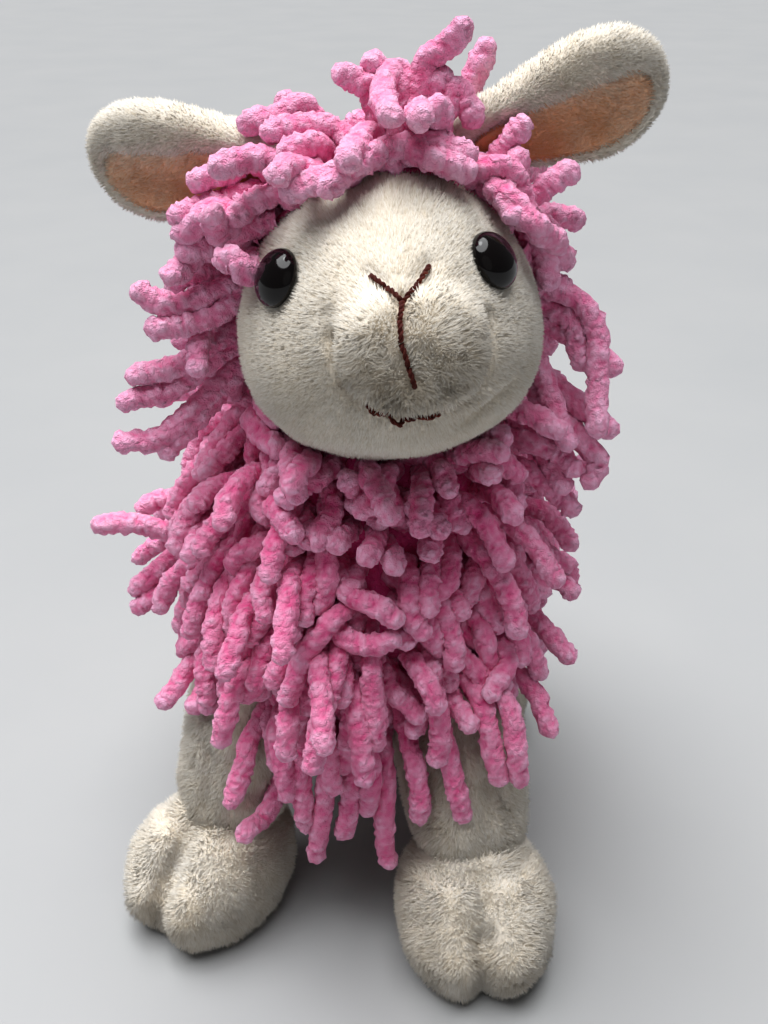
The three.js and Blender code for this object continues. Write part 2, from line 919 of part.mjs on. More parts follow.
function buildLimb(leg) {
  const grid = footGrid(leg.foot);
  const footOuter = solidOf(gridSolid(grid, 0));
  const footInner = solidOf(gridSolid(grid, plushThickness));
  const footCutter = solidOf(gridSolid(grid, -clearance));
  const legInner = legSolid(leg, -plushThickness, cutOverrun);
  const legShell = legSolid(leg, 0, 0).subtract(legInner);
  const legCover = legShell.subtract(footCutter).subtract(bodyCutter);
  const footCover = footOuter.subtract(footInner).subtract(legInner);
  const legFill = legSolid(leg, -plushThickness - clearance, 0);
  const footFill = solidOf(gridSolid(grid, plushThickness + clearance));
  const stuffing = legFill.add(footFill).subtract(bodyCutter);
  addPiece(`${leg.name}_leg_cover`, geometryOf(legCover), plush);
  addPiece(`${leg.name}_foot_cover`, geometryOf(footCover), plush);
  addPiece(`${leg.name}_leg_stuffing`, geometryOf(stuffing), fibre);
}

// Eyes and washers, each in the frame of its place on the head

function eyeProfile(grow) {
  const profile = [new THREE.Vector2(0, -postLength - grow)];
  profile.push(new THREE.Vector2(postRadius + grow, -postLength - grow));
  profile.push(new THREE.Vector2(postRadius + grow, -eyeSeatDepth - grow));
  profile.push(new THREE.Vector2(eyeSeatRadius + grow, -eyeSeatDepth - grow));
  for (let step = 0; step < eyeDomeSteps; step += 1) {
    const angle = ((Math.PI / 2) * step) / eyeDomeSteps;
    const radius = (eyeRadius + grow) * Math.cos(angle);
    profile.push(new THREE.Vector2(radius, (eyeDomeHeight + grow) * Math.sin(angle)));
  }
  profile.push(new THREE.Vector2(0, eyeDomeHeight + grow));
  return profile;
}

function washerProfile(grow) {
  const low = -washerDepth - washerThickness - grow;
  const high = -washerDepth + grow;
  const bore = postRadius + clearance - grow;
  const rim = washerRadius + grow;
  return [
    new THREE.Vector2(bore, low),
    new THREE.Vector2(rim, low),
    new THREE.Vector2(rim, high),
    new THREE.Vector2(bore, high),
    new THREE.Vector2(bore, low),
  ];
}

function eyePlace(side) {
  const direction = eyeDirections[side];
  const place = new THREE.Group();
  const local = direction.clone().multiplyScalar(head.reach(direction));
  const normal = surfaceNormal(head, direction).applyQuaternion(head.turn.clone().invert());
  place.position.copy(local);
  place.quaternion.setFromUnitVectors(axisY, normal);
  headFrame.add(place);
  headFrame.updateMatrixWorld(true);
  return place;
}

function buildFace() {
  let faceCover = solidOf(cloth(headPanel(0, faceRings), plushThickness)).subtract(bodyCutter);
  let stuffing = solidOf(gridSolid(headGrid, plushThickness + clearance)).subtract(bodyCutter);
  for (const side of ['left', 'right']) {
    const place = eyePlace(side);
    const eyeRoom = new THREE.LatheGeometry(eyeProfile(clearance), eyeSides);
    const eyeRoomSolid = solidOf(eyeRoom.applyMatrix4(place.matrixWorld));
    const washerRoom = new THREE.LatheGeometry(washerProfile(clearance), eyeSides);
    const washerRoomSolid = solidOf(washerRoom.applyMatrix4(place.matrixWorld));
    faceCover = faceCover.subtract(eyeRoomSolid);
    stuffing = stuffing.subtract(eyeRoomSolid).subtract(washerRoomSolid);
    addPiece(`${side}_eye`, new THREE.LatheGeometry(eyeProfile(0), eyeSides), eyePlastic, place);
    const washer = new THREE.LatheGeometry(washerProfile(0), eyeSides);
    addPiece(`${side}_eye_washer`, washer, washerPlastic, place);
  }
  addPiece('face_cover', geometryOf(faceCover), plush);
  addPiece('head_stuffing', geometryOf(stuffing), fibre);
}

// Embroidery: round threads that lie on the face, in the head's frame

// The point in front of the head at a place across and up the face, a thread's radius off the cloth
function facePoint(across, up, lift) {
  let near = 0;
  let far = 2 * headHalfLength;
  for (let step = 0; step < bisections; step += 1) {
    const forward = (near + far) / 2;
    const point = new THREE.Vector3(across, -forward, up);
    const distance = point.length();
    if (distance < head.reach(point.normalize()) + lift) {
      near = forward;
    } else {
      far = forward;
    }
  }
  return new THREE.Vector3(across, -near, up);
}

function threadTube(stops) {
  const lift = threadRadius + clearance;
  const curve = new THREE.CatmullRomCurve3(stops.map(([across, up]) => facePoint(across, up, lift)));
  const section = new THREE.Shape();
  section.absarc(0, 0, threadRadius, 0, 2 * Math.PI, false);
  return new THREE.ExtrudeGeometry(section, {
    extrudePath: curve,
    steps: threadSteps,
    curveSegments: threadSides / 2,
  });
}

function buildEmbroidery() {
  const fork = [noseAside, noseForkUp];
  const below = [noseAside, noseForkUp - threadRadius];
  const left = solidOf(threadTube([[noseAside - noseArmAcross, noseArmUp], fork, below]));
  const right = solidOf(threadTube([[noseAside + noseArmAcross, noseArmUp], fork, below]));
  const stemMiddle = [noseAside, (noseForkUp + stemEndUp) / 2];
  const stem = solidOf(threadTube([fork, stemMiddle, [noseAside, stemEndUp]]));
  addPiece('nose_embroidery', geometryOf(left.add(right).add(stem)), thread, headFrame);
  const smile = threadTube([
    [-smileAcross, smileEndUp],
    [-smileAcross / 2, (smileEndUp + 3 * smileMiddleUp) / 4],
    [0, smileMiddleUp],
    [smileAcross / 2, (smileEndUp + 3 * smileMiddleUp) / 4],
    [smileAcross, smileEndUp],
  ]);
  addPiece('mouth_embroidery', smile, thread, headFrame);
}

// Ears and tail

// Whether a point lies where a leaf is at some angle of its swing
function isInSwing(leaf, point, margin) {
  for (const share of swingShares) {
    const angle = -THREE.MathUtils.lerp(leaf.swing[0], leaf.swing[1], share);
    const turn = new THREE.Quaternion().setFromAxisAngle(leaf.hinge, angle);
    const local = leaf.frame.worldToLocal(point.clone()).applyQuaternion(turn);
    const reach = THREE.MathUtils.clamp(local.x / leaf.length, 0, 1);
    const halfWidth = THREE.MathUtils.lerp(leaf.rootRadius, leaf.width / 2, Math.sqrt(reach));
    const deep = Math.abs(local.y) < leaf.thickness / 2 + leaf.cup * reach + margin;
    const wide = Math.abs(local.z) < halfWidth + margin;
    const long = local.x > -leaf.rootRadius - margin && local.x < leaf.length + margin;
    if (deep && wide && long) {
      return true;
    }
  }
  return false;
}

const leaves = [];
const swingShares = [0, 0.25, 0.5, 0.75, 1];

// Where a line from the middle of a form leaves its faceted skin, and the facet's normal there
function seatOn(form, grid, direction) {
  const skin = new THREE.Mesh(gridSolid(grid, 0), new THREE.MeshBasicMaterial());
  skin.material.side = THREE.DoubleSide;
  const heading = direction.clone().applyQuaternion(form.turn);
  const [hit] = new THREE.Raycaster(form.centre, heading).intersectObject(skin);
  return { point: hit.point, normal: hit.face.normal };
}

// The place of a leaf's hinge, so high over its seat that the leaf clears it over its whole swing
function hingePoint(seat, geometries, turn, hinge, swing) {
  const corner = new THREE.Vector3();
  let reach = 0;
  for (const share of swingShares) {
    const angle = THREE.MathUtils.lerp(swing[0], swing[1], share);
    const posed = turn.clone().multiply(new THREE.Quaternion().setFromAxisAngle(hinge, angle));
    for (const geometry of geometries) {
      const position = geometry.attributes.position;
      for (let at = 0; at < position.count; at += 1) {
        corner.fromBufferAttribute(position, at).applyQuaternion(posed);
        reach = Math.max(reach, -corner.dot(seat.normal));
      }
    }
  }
  return seat.point.clone().addScaledVector(seat.normal, reach + clearance);
}

function buildEar(side, sign, liftDegrees, backDegrees) {
  const direction = new THREE.Vector3(sign * earRootAcrossShare, earRootBackShare, earRootUpShare);
  const outline = leafOutline(earLength, earWidth, earRootRadius);
  const middle = earLength * earMiddleShare;
  const outer = leafGeometry(outline, middle, earRows(sign), sign * earCup, earWidth / 2);
  const inner = leafGeometry(outline, middle, liningRows(sign), sign * earCup, earWidth / 2);
  const swing = [-radians(earSwingDegrees), radians(earSwingDegrees)];
  const frame = new THREE.Group();
  const back = new THREE.Quaternion().setFromAxisAngle(axisZ, sign * radians(backDegrees));
  const leaf = leafTurn(sign, radians(liftDegrees), radians(earTiltDegrees));
  frame.quaternion.copy(head.turn).multiply(back).multiply(leaf);
  const seat = seatOn(head, headGrid, direction.normalize());
  frame.position.copy(hingePoint(seat, [outer, inner], frame.quaternion, axisY, swing));
  sheep.add(frame);
  sheep.updateMatrixWorld(true);
  addPiece(`${side}_ear_outer`, sign < 0 ? flipFaces(outer) : outer, plush, frame);
  addPiece(`${side}_ear_lining`, sign < 0 ? flipFaces(inner) : inner, lining, frame);
  leaves.push({
    frame,
    swing,
    hinge: axisY,
    thickness: earThickness,
    cup: earCup,
    width: earWidth,
    length: earLength,
    rootRadius: earRootRadius,
  });
}

// The tail is a plump drop: a round root about its hinge, then shares of its length and half width
const tailOutlineShares = [[0.25, 0.82], [0.5, 1], [0.7, 0.96], [0.87, 0.7], [0.97, 0.36], [1, 0]];

function tailGeometry() {
  const profile = [];
  for (let step = 0; step <= tailArcSteps; step += 1) {
    const angle = ((Math.PI / 2) * step) / tailArcSteps;
    const radius = tailRootRadius * Math.sin(angle);
    profile.push(new THREE.Vector2(radius, -tailRootRadius * Math.cos(angle)));
  }
  for (const [along, across] of tailOutlineShares) {
    profile.push(new THREE.Vector2((tailWidth / 2) * across, tailLength * along));
  }
  profile[0].x = 0;
  return new THREE.LatheGeometry(profile, tailSides).rotateZ(-Math.PI / 2);
}

function buildTail() {
  const geometry = tailGeometry();
  const swing = [-radians(tailDropDegrees), radians(tailLiftDegrees)];
  const frame = new THREE.Group();
  const back = new THREE.Quaternion().setFromAxisAngle(axisZ, Math.PI / 2);
  const droop = new THREE.Quaternion().setFromAxisAngle(axisX, -radians(tailDroopDegrees));
  const flat = new THREE.Quaternion().setFromAxisAngle(axisX, Math.PI / 2);
  frame.quaternion.copy(droop).multiply(back).multiply(flat);
  const seat = seatOn(body, bodyGrid, bodyDirection(Math.PI, radians(tailUpDegrees)));
  seat.normal.setX(0).normalize();
  frame.position.copy(hingePoint(seat, [geometry], frame.quaternion, axisZ, swing));
  sheep.add(frame);
  sheep.updateMatrixWorld(true);
  addPiece('tail', geometry, plush, frame);
  leaves.push({
    frame,
    swing,
    hinge: axisZ,
    thickness: tailWidth,
    cup: 0,
    width: tailWidth,
    length: tailLength,
    rootRadius: tailRootRadius,
  });
}

// Fleece

const hanging = {
  comb: new THREE.Vector3(),
  length: strandLength,
  bend: 0.22,
  sag: 1,
  scatter: 0.1,
  seed: 0,
  neighbour: head,
};

const crown = {
  comb: new THREE.Vector3(-0.65, -0.45, 0),
  length: crownStrandLength,
  bend: 0.25,
  sag: 0.4,
  scatter: 0.2,
  seed: 500,
  neighbour: body,
};

function buildFleece() {
  for (const leaf of leaves) {
    keepOut.push((point, margin) => isInSwing(leaf, point, margin));
  }
  for (const leg of legs) {
    keepOut.push((point, margin) => isInLeg(leg, point, margin));
    keepOut.push((point, margin) => isInside(leg.foot, point, margin));
  }
  const top = bellyRows + bodyRows;
  const scalp = headPanel(faceRings, faceRings + scalpRings);
  const chest = bodyPanel(bellyRows, top, sideColumns, sideColumns + chestColumns);
  const left = bodyPanel(bellyRows, top, 0, sideColumns);
  const right = bodyPanel(bellyRows, top, sideColumns + chestColumns, bodyColumns);
  const sprouting = (panel, style) => cloth(panel, backingThickness, sproutStrand(style));
  const headFleece = solidOf(sprouting(scalp, crown)).subtract(bodyCutter);
  addPiece('head_fleece', geometryOf(headFleece), chenille);
  addPiece('chest_fleece', sprouting(chest, hanging), chenille);
  addPiece('left_side_fleece', sprouting(left, { ...hanging, seed: 900 }), chenille);
  addPiece('right_side_fleece', sprouting(right, { ...hanging, seed: 1300 }), chenille);
}

function buildBody() {
  addPiece('body_stuffing', gridSolid(bodyGrid, plushThickness + clearance), fibre);
  addPiece('belly_panel', cloth(bodyPanel(0, bellyRows, 0, bodyColumns), plushThickness), plush);
}

sheep.add(headFrame);
buildBody();
legs.forEach(buildLimb);
buildFace();
buildEmbroidery();
buildEar('left', -1, leftEarLiftDegrees, leftEarBackDegrees);
buildEar('right', 1, rightEarLiftDegrees, rightEarBackDegrees);
buildTail();
buildFleece();

// The origin is on the ground under the middle of the whole toy
sheep.updateMatrixWorld(true);
const extent = new THREE.Box3().setFromObject(sheep, true);
const middle = extent.getCenter(new THREE.Vector3());
sheep.position.set(-middle.x, -middle.y, 0);

export default sheep;
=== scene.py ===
# %% [markdown]
# # A stuffed toy sheep, dressed around its CAD model
# The CAD model gives every sewn part its place and size. This file puts the cloth on it: short
# cream pile on the face, ears, legs and tail, and thick pink chenille strands for the fleece.
# The first cell loads the model.

# %% Load the frame
import itertools
import json
import math

import bpy
import numpy as np
from mathutils import Matrix


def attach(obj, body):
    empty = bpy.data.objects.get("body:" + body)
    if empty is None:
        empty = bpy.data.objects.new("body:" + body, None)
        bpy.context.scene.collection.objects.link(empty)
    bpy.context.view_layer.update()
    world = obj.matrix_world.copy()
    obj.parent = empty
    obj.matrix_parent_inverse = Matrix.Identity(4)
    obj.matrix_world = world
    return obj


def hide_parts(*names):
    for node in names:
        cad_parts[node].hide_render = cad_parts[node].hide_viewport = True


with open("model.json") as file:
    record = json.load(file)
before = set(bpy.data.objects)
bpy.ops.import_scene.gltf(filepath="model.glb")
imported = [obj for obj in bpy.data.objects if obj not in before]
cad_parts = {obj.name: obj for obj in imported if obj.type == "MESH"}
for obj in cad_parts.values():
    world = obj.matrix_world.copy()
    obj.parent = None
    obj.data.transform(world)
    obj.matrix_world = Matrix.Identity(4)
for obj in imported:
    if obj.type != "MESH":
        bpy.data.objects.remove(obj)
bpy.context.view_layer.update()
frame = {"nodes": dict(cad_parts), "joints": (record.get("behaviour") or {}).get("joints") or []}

# %% [markdown]
# ## Camera
# The toy is seen from in front and well above. A camera could be posed by eye, but here its place
# and lens are written down, so that a spot in the picture can be followed back as a ray. All
# lengths in this file are millimetres, and turn into metres when a mesh or light is made. The
# sewing pattern is drawn about the trunk, and one shift brings it to the middle of the box.

# %% Camera and picture rays
MM = 0.001
picture_width, picture_height = 768, 1024
focal_length = 1098.0
box_shift = np.array([-0.68, 11.58, 0.0])
camera_place = box_shift + [8.0, -318.0, 289.0]
camera_pitch = math.radians(30)

lens = bpy.data.cameras.new("camera")
lens.sensor_fit = "VERTICAL"
lens.angle = 2 * math.atan(picture_height / 2 / focal_length)
lens.clip_start = 0.01
camera = bpy.data.objects.new("camera", lens)
camera.location = camera_place * MM
camera.rotation_euler = (math.pi / 2 - camera_pitch, 0, 0)
bpy.context.scene.collection.objects.link(camera)
bpy.context.scene.camera = camera


def picture_ray(x, y):
    """The direction from the camera through a spot of the picture, one step of depth long."""
    across = (x - picture_width / 2) / focal_length
    down = (y - picture_height / 2) / focal_length
    forward = np.array([0, math.cos(camera_pitch), -math.sin(camera_pitch)])
    upward = np.array([0, math.sin(camera_pitch), math.cos(camera_pitch)])
    return forward + across * np.array([1.0, 0, 0]) - down * upward


print("camera at", camera_place, "pitched down", round(math.degrees(camera_pitch)), "degrees")

# %% [markdown]
# ## Rounded forms
# A stuffed form is a rounded body whose skin lies at some reach from its centre in every
# direction. The same reach gives the skin for sewing and a height above it, so strands and
# stitches can be kept on the cloth. Blender's metaballs could blend such forms too, but their
# skin could not be matched to the CAD solids.

# %% Form helper
def unit(vectors):
    """Vectors brought to length one."""
    return vectors / np.linalg.norm(vectors, axis=-1, keepdims=True)


def turned(degrees, axis):
    return np.array(Matrix.Rotation(math.radians(degrees), 3, axis))


class Form:
    """A rounded form: its skin lies at reach(direction) from its centre."""

    def __init__(self, centre, reach, turn=np.eye(3)):
        self.centre, self.reach, self.turn = np.array(centre, float), reach, turn

    def skin(self, directions, lift=0.0):
        local = directions * (self.reach(directions) + lift)[..., None]
        return self.centre + local @ self.turn.T

    def height(self, points):
        offset = (points - self.centre) @ self.turn
        distance = np.linalg.norm(offset, axis=-1)
        return distance - self.reach(offset / distance[..., None])


def uphill(height, points, step=0.4):
    """The way out of a form at each point, from the slope of its height."""
    rises = [height(points + step * axis) - height(points - step * axis) for axis in np.eye(3)]
    return unit(np.stack(rises, -1))


def bump(directions, middle, width):
    """1 in the middle direction, and less the further a direction lies from it."""
    return np.exp(-((directions - middle) ** 2).sum(-1) / width**2)


def egg_reach(directions, across, along, up):
    """How far an egg with these three half sizes reaches in each direction."""
    half_sizes = np.stack(np.broadcast_arrays(across, along, up), -1)
    return 1 / np.sqrt((directions / half_sizes) ** 2 @ np.ones(3))


# %% [markdown]
# ## Trunk, neck and head
# The trunk and the neck are two egg forms blended into one stuffed body. The head is an egg with
# a proud muzzle, two cheeks and two dents where the eyes pull the cloth in.

# %% Body and head forms
trunk_centre = box_shift + [0, -8, 108]
trunk_half_sizes = np.array([43.0, 66.0, 44.0])
neck_centre = trunk_centre + [4, -23, 30]
neck_half_sizes = np.array([37.0, 35.0, 40.0])
core_centre = trunk_centre + [0, -13, 14]
blend_sharpness = 8


def exit_distance(directions, centre, half_sizes):
    """How far the skin of an egg is from the body's core in each direction."""
    start = (core_centre - centre) / half_sizes
    along = directions / half_sizes
    a, b = (along**2).sum(-1), along @ start
    return (np.sqrt(b * b - a * (start @ start - 1)) - b) / a


def body_reach(directions):
    trunk = exit_distance(directions, trunk_centre, trunk_half_sizes)
    neck = exit_distance(directions, neck_centre, neck_half_sizes)
    return (trunk**blend_sharpness + neck**blend_sharpness) ** (1 / blend_sharpness)


def face_way(across_degrees, up_degrees):
    """The direction so many degrees across and up from straight ahead."""
    a, u = math.radians(across_degrees), math.radians(up_degrees)
    return np.array([math.sin(a) * math.cos(u), -math.cos(a) * math.cos(u), math.sin(u)])


eye_ways = {"left": face_way(-54, 27), "right": face_way(48, 26)}


head_half_width, head_half_size, jowl_share = 37.5, 38.0, 0.13
muzzle_rise, cheek_rise, eye_dent = 7.2, 2.2, 1.8


def head_reach(directions):
    """An egg that is wider below, with a proud muzzle and cheeks and sunk eyes."""
    across = head_half_width * (1 - jowl_share * directions[..., 2])
    reach = egg_reach(directions, across, head_half_size, head_half_size)
    reach = reach + muzzle_rise * bump(directions, face_way(0, -3), 0.56)
    for side in (-1, 1):
        reach = reach + cheek_rise * bump(directions, face_way(58 * side, -24), 0.5)
    for way in eye_ways.values():
        reach = reach - eye_dent * bump(directions, way, 0.26)
    return reach


body = Form(core_centre, body_reach)
head_centre = neck_centre + [5, -23, 58]
head = Form(head_centre, head_reach, turned(-5, "Y") @ turned(4, "Z"))
print("head centre", head_centre)

# %% [markdown]
# ## Legs and feet
# Each leg is a short stuffed tube from the body to an ankle seam, and each foot a rounded shoe
# whose toe is pulled in by a cleft. The front left foot is turned well out, as the toy stands.

# %% Leg and foot forms
foot_half_width, foot_half_length, foot_height, foot_middle = 24.5, 31.0, 40.0, 15.0
instep_slope, cleft_depth, cleft_width = 0.42, 5.0, 0.2
hip_drop, ankle_height, foot_ahead = 20.0, 30.0, 11
leg_radii = {"hip": 19.0, "middle": 20.5, "ankle": 18.0}


def foot_reach(directions):
    """A shoe that is lower at the toe, with a cleft pressed into its front."""
    forward = np.maximum(0, -directions[..., 1])
    rise = (foot_height - foot_middle) * (1 - instep_slope * forward**2)
    up = np.where(directions[..., 2] > 0, rise, foot_half_width)
    reach = egg_reach(directions, foot_half_width, foot_half_length, up)
    return reach - cleft_depth * forward**2 * np.exp(-((directions[..., 0] / cleft_width) ** 2))


class Leg:
    """A leg's tube and its foot, from the places of its hip and ankle over the floor."""

    def __init__(self, hip, ankle, heading):
        self.hip = trunk_centre + [hip[0], hip[1], -hip_drop]
        self.ankle = np.array([trunk_centre[0] + ankle[0], trunk_centre[1] + ankle[1], ankle_height])
        turn = turned(heading, "Z")
        self.toeward = turn @ np.array([0, -1.0, 0])
        below = [0, 0, ankle_height - foot_middle]
        self.foot = Form(self.ankle + foot_ahead * self.toeward - below, foot_reach, turn)

    def radius(self, share):
        return np.interp(share, [0, 0.5, 1], list(leg_radii.values()))

    def height(self, points):
        axis = self.ankle - self.hip
        share = np.clip((points - self.hip) @ axis / (axis @ axis), 0, 1)
        nearest = self.hip + share[..., None] * axis
        tube = np.linalg.norm(points - nearest, axis=-1) - self.radius(share)
        return np.minimum(tube, self.foot.height(points))


legs = {
    "front_left": Leg((-27, -37), (-42, -50), -30),
    "front_right": Leg((27, -37), (35, -66), 4),
    "hind_left": Leg((-26, 34), (-37, 42), -10),
    "hind_right": Leg((26, 34), (37, 42), 10),
}
print("feet stand at", {name: leg.foot.centre.round(1).tolist() for name, leg in legs.items()})

# %% [markdown]
# ## Spots of the picture on the toy
# A ray through a spot of the picture is followed until it is at the wanted height over the toy.
# Beyond the toy's outline it stays at the place where the ray comes nearest.

# %% From the picture to the toy
def toy_height(points):
    """Height over the trunk, head or leg that is nearest."""
    heights = [body.height(points), head.height(points)]
    return np.min(heights + [leg.height(points) for leg in legs.values()], axis=0)


def picture_point(x, y, lift=0.0, height=toy_height):
    """The spot on a picture ray that is first at that lift over a form."""
    steps = np.arange(150.0, 470.0, 0.5)
    points = camera_place + steps[:, None] * picture_ray(x, y)
    heights = height(points) - lift
    inside = np.flatnonzero(heights <= 0)
    return points[inside[0] if len(inside) else np.argmin(heights)]


print("left eye's spot", picture_point(275, 281, 2.0).round(1))

# %% [markdown]
# ## Chance that repeats
# Cloth is never even. Smooth noise in space gives soft lumps and leaning pile, and it has to be
# the same in every run, so it comes from whole-number hashing and not from a clock.

# %% Smooth noise
def lattice_value(cells, seed):
    """A value from -1 to 1 for each cell, scrambled from its whole-number place."""
    mixed = (cells[..., 0] * 73856093) ^ (cells[..., 1] * 19349663) ^ (cells[..., 2] * 83492791)
    mixed = (mixed ^ (seed * 26544357)) & 0x7FFFFFFF
    mixed = ((mixed ^ (mixed >> 13)) * 1274126177) & 0x7FFFFFFF
    return ((mixed ^ (mixed >> 16)) & 0xFFFF) / 0x7FFF - 1.0


def noise(points, size, seed=0):
    """Smooth noise from -1 to 1, with lumps of the given size."""
    scaled = np.asarray(points) / size
    cells = np.floor(scaled).astype(np.int64)
    share = scaled - cells
    share = share * share * (3 - 2 * share)
    total = np.zeros(scaled.shape[:-1])
    for corner in itertools.product((0, 1), repeat=3):
        weight = np.where(corner, share, 1 - share).prod(-1)
        total += weight * lattice_value(cells + corner, seed)
    return total


def noise_vectors(points, size, seed):
    return np.stack([noise(points, size, seed + turn) for turn in range(3)], -1)


test_spots = np.random.default_rng(1).random((999, 3)) * 90
print("noise reaches", round(float(np.abs(noise(test_spots, 7)).max()), 2))

# %% [markdown]
# ## From arrays to a piece
# Thousands of tufts are far quicker to make as arrays than as single Blender operations. One
# helper turns points and faces into a mesh with smooth shading, puts the finish on, hangs the
# piece on the empty of the body it rides on, and hides the CAD nodes it stands for.

# %% Piece helper
def grid_faces(rows, columns, wraps=False):
    """Quads of a grid of points whose columns may close into a ring."""
    row, column = np.mgrid[0 : rows - 1, 0 : columns if wraps else columns - 1]
    after = (column + 1) % columns
    corners = [row * columns + column, row * columns + after]
    corners += [(row + 1) * columns + after, (row + 1) * columns + column]
    return np.stack(corners, -1).reshape(-1, 4)


def outward(points, quads, centre):
    """Quads turned so that a skin faces away from a point inside it."""
    corners = points[quads]
    across = np.cross(corners[:, 2] - corners[:, 0], corners[:, 3] - corners[:, 1])
    return quads if (across * (corners.mean(1) - centre)).sum() > 0 else quads[:, ::-1]


def skin_normals(points, quads):
    """Smooth normals of a skin of quads."""
    corners = points[quads]
    across = np.cross(corners[:, 2] - corners[:, 0], corners[:, 3] - corners[:, 1])
    normals = np.zeros_like(points)
    for side in range(4):
        np.add.at(normals, quads[:, side], across)
    return normals / np.maximum(np.linalg.norm(normals, axis=-1, keepdims=True), 1e-9)


def make_piece(
    name, points, blocks, finish, body_name="root", stands_for=(), shares=None, normals=None
):
    """A smooth mesh from points and blocks of faces, with its finish, its body and its CAD node."""
    mesh = bpy.data.meshes.new(name)
    blocks = [np.asarray(block) for block in blocks if len(block)]
    corners = np.concatenate([block.ravel() for block in blocks])
    sizes = np.concatenate([np.full(len(block), block.shape[1]) for block in blocks])
    mesh.vertices.add(len(points))
    mesh.vertices.foreach_set("co", (points * MM).astype(np.float32).ravel())
    mesh.loops.add(len(corners))
    mesh.loops.foreach_set("vertex_index", corners.astype(np.int32))
    mesh.polygons.add(len(sizes))
    mesh.polygons.foreach_set("loop_start", (np.cumsum(sizes) - sizes).astype(np.int32))
    mesh.update(calc_edges=True)
    mesh.shade_smooth()
    for label, values in (shares or {}).items():
        layer = mesh.attributes.new(label, "FLOAT", "POINT")
        layer.data.foreach_set("value", np.asarray(values, np.float32))
    if normals is not None:
        mesh.normals_split_custom_set_from_vertices(normals.astype(np.float32))
    mesh.materials.append(finish)
    piece = bpy.data.objects.new(name, mesh)
    bpy.context.scene.collection.objects.link(piece)
    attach(piece, body_name)
    if stands_for:
        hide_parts(*stands_for)
    print(name, len(points), "points", int((sizes - 2).sum()), "triangles")
    return piece


# %% [markdown]
# ## Shader parts
# Two effects come back in several finishes. Pile and strands are darker near their roots, where
# little light gets in, and lighter and a little frosted at their tips. And every fibre finish
# has a fine grain. Each effect is one node group with its own inputs.

# %% Node helpers
def add_node(tree, kind, inputs=None, **settings):
    node = tree.nodes.new(kind)
    for key, value in settings.items():
        setattr(node, key, value)
    for key, value in (inputs or {}).items():
        if isinstance(value, bpy.types.NodeSocket):
            tree.links.new(value, node.inputs[key])
        else:
            node.inputs[key].default_value = value
    return node


def new_group(name, inputs, outputs):
    """A node group with named sockets: (name, kind, value) for each input, (name, kind) out."""
    group = bpy.data.node_groups.new(name, "ShaderNodeTree")
    for label, kind, value in inputs:
        socket = group.interface.new_socket(label, in_out="INPUT", socket_type=kind)
        socket.default_value = value
    for label, kind in outputs:
        group.interface.new_socket(label, in_out="OUTPUT", socket_type=kind)
    entry, end = group.nodes.new("NodeGroupInput"), group.nodes.new("NodeGroupOutput")
    return group, entry.outputs, end.inputs


def mixed(tree, share, first, second, blend="MIX"):
    node = add_node(tree, "ShaderNodeMix", data_type="RGBA", blend_type=blend)
    for place, value in ((0, share), (6, first), (7, second)):
        if isinstance(value, bpy.types.NodeSocket):
            tree.links.new(value, node.inputs[place])
        else:
            node.inputs[place].default_value = value
    return node.outputs[2]


# %% Node groups for pile colour and fibre grain
pile_colour, pile_in, pile_out = new_group(
    "pile colour",
    [
        ("Root", "NodeSocketColor", (0.3, 0.2, 0.1, 1)),
        ("Tip", "NodeSocketColor", (0.9, 0.8, 0.7, 1)),
        ("Stain", "NodeSocketColor", (0.7, 0.6, 0.5, 1)),
        ("Height", "NodeSocketFloat", 0.5),
        ("Patch size", "NodeSocketFloat", 60.0),
        ("Patch strength", "NodeSocketFloat", 0.5),
    ],
    [("Color", "NodeSocketColor")],
)
place = add_node(pile_colour, "ShaderNodeTexCoord").outputs["Object"]
patches = add_node(
    pile_colour, "ShaderNodeTexNoise", {"Vector": place, "Scale": pile_in["Patch size"], "Detail": 3.0}
)
patch_mask = add_node(
    pile_colour, "ShaderNodeMapRange",
    {
        "Value": patches.outputs["Fac"], "From Min": 0.4, "From Max": 0.68,
        "To Max": pile_in["Patch strength"],
    },
)
by_height = mixed(pile_colour, pile_in["Height"], pile_in["Root"], pile_in["Tip"])
stained = mixed(pile_colour, patch_mask.outputs["Result"], by_height, pile_in["Stain"], "MULTIPLY")
pile_colour.links.new(stained, pile_out["Color"])

fibre_grain, grain_in, grain_out = new_group(
    "fibre grain",
    [
        ("Grain size", "NodeSocketFloat", 1500.0),
        ("Lump size", "NodeSocketFloat", 550.0),
        ("Lump share", "NodeSocketFloat", 0.5),
        ("Depth", "NodeSocketFloat", 0.3),
        ("Distance", "NodeSocketFloat", 0.0005),
    ],
    [("Normal", "NodeSocketVector"), ("Crease", "NodeSocketFloat")],
)
place = add_node(fibre_grain, "ShaderNodeTexCoord").outputs["Object"]
grain = add_node(
    fibre_grain, "ShaderNodeTexNoise", {"Vector": place, "Scale": grain_in["Grain size"], "Detail": 2.0}
)
lumps = add_node(
    fibre_grain, "ShaderNodeTexVoronoi",
    {"Vector": place, "Scale": grain_in["Lump size"], "Smoothness": 0.7}, feature="SMOOTH_F1",
)
rounded = add_node(
    fibre_grain, "ShaderNodeMath",
    {0: lumps.outputs["Distance"], 1: lumps.outputs["Distance"]}, operation="MULTIPLY",
)
crease = add_node(
    fibre_grain, "ShaderNodeMapRange",
    {"Value": rounded.outputs["Value"], "From Min": 0.05, "From Max": 0.5},
)
heap = add_node(
    fibre_grain, "ShaderNodeMapRange", {"Value": crease.outputs["Result"], "To Min": 1.0, "To Max": 0.0}
)
both = add_node(
    fibre_grain, "ShaderNodeMix",
    {"Factor": grain_in["Lump share"], "A": grain.outputs["Fac"], "B": heap.outputs["Result"]},
)
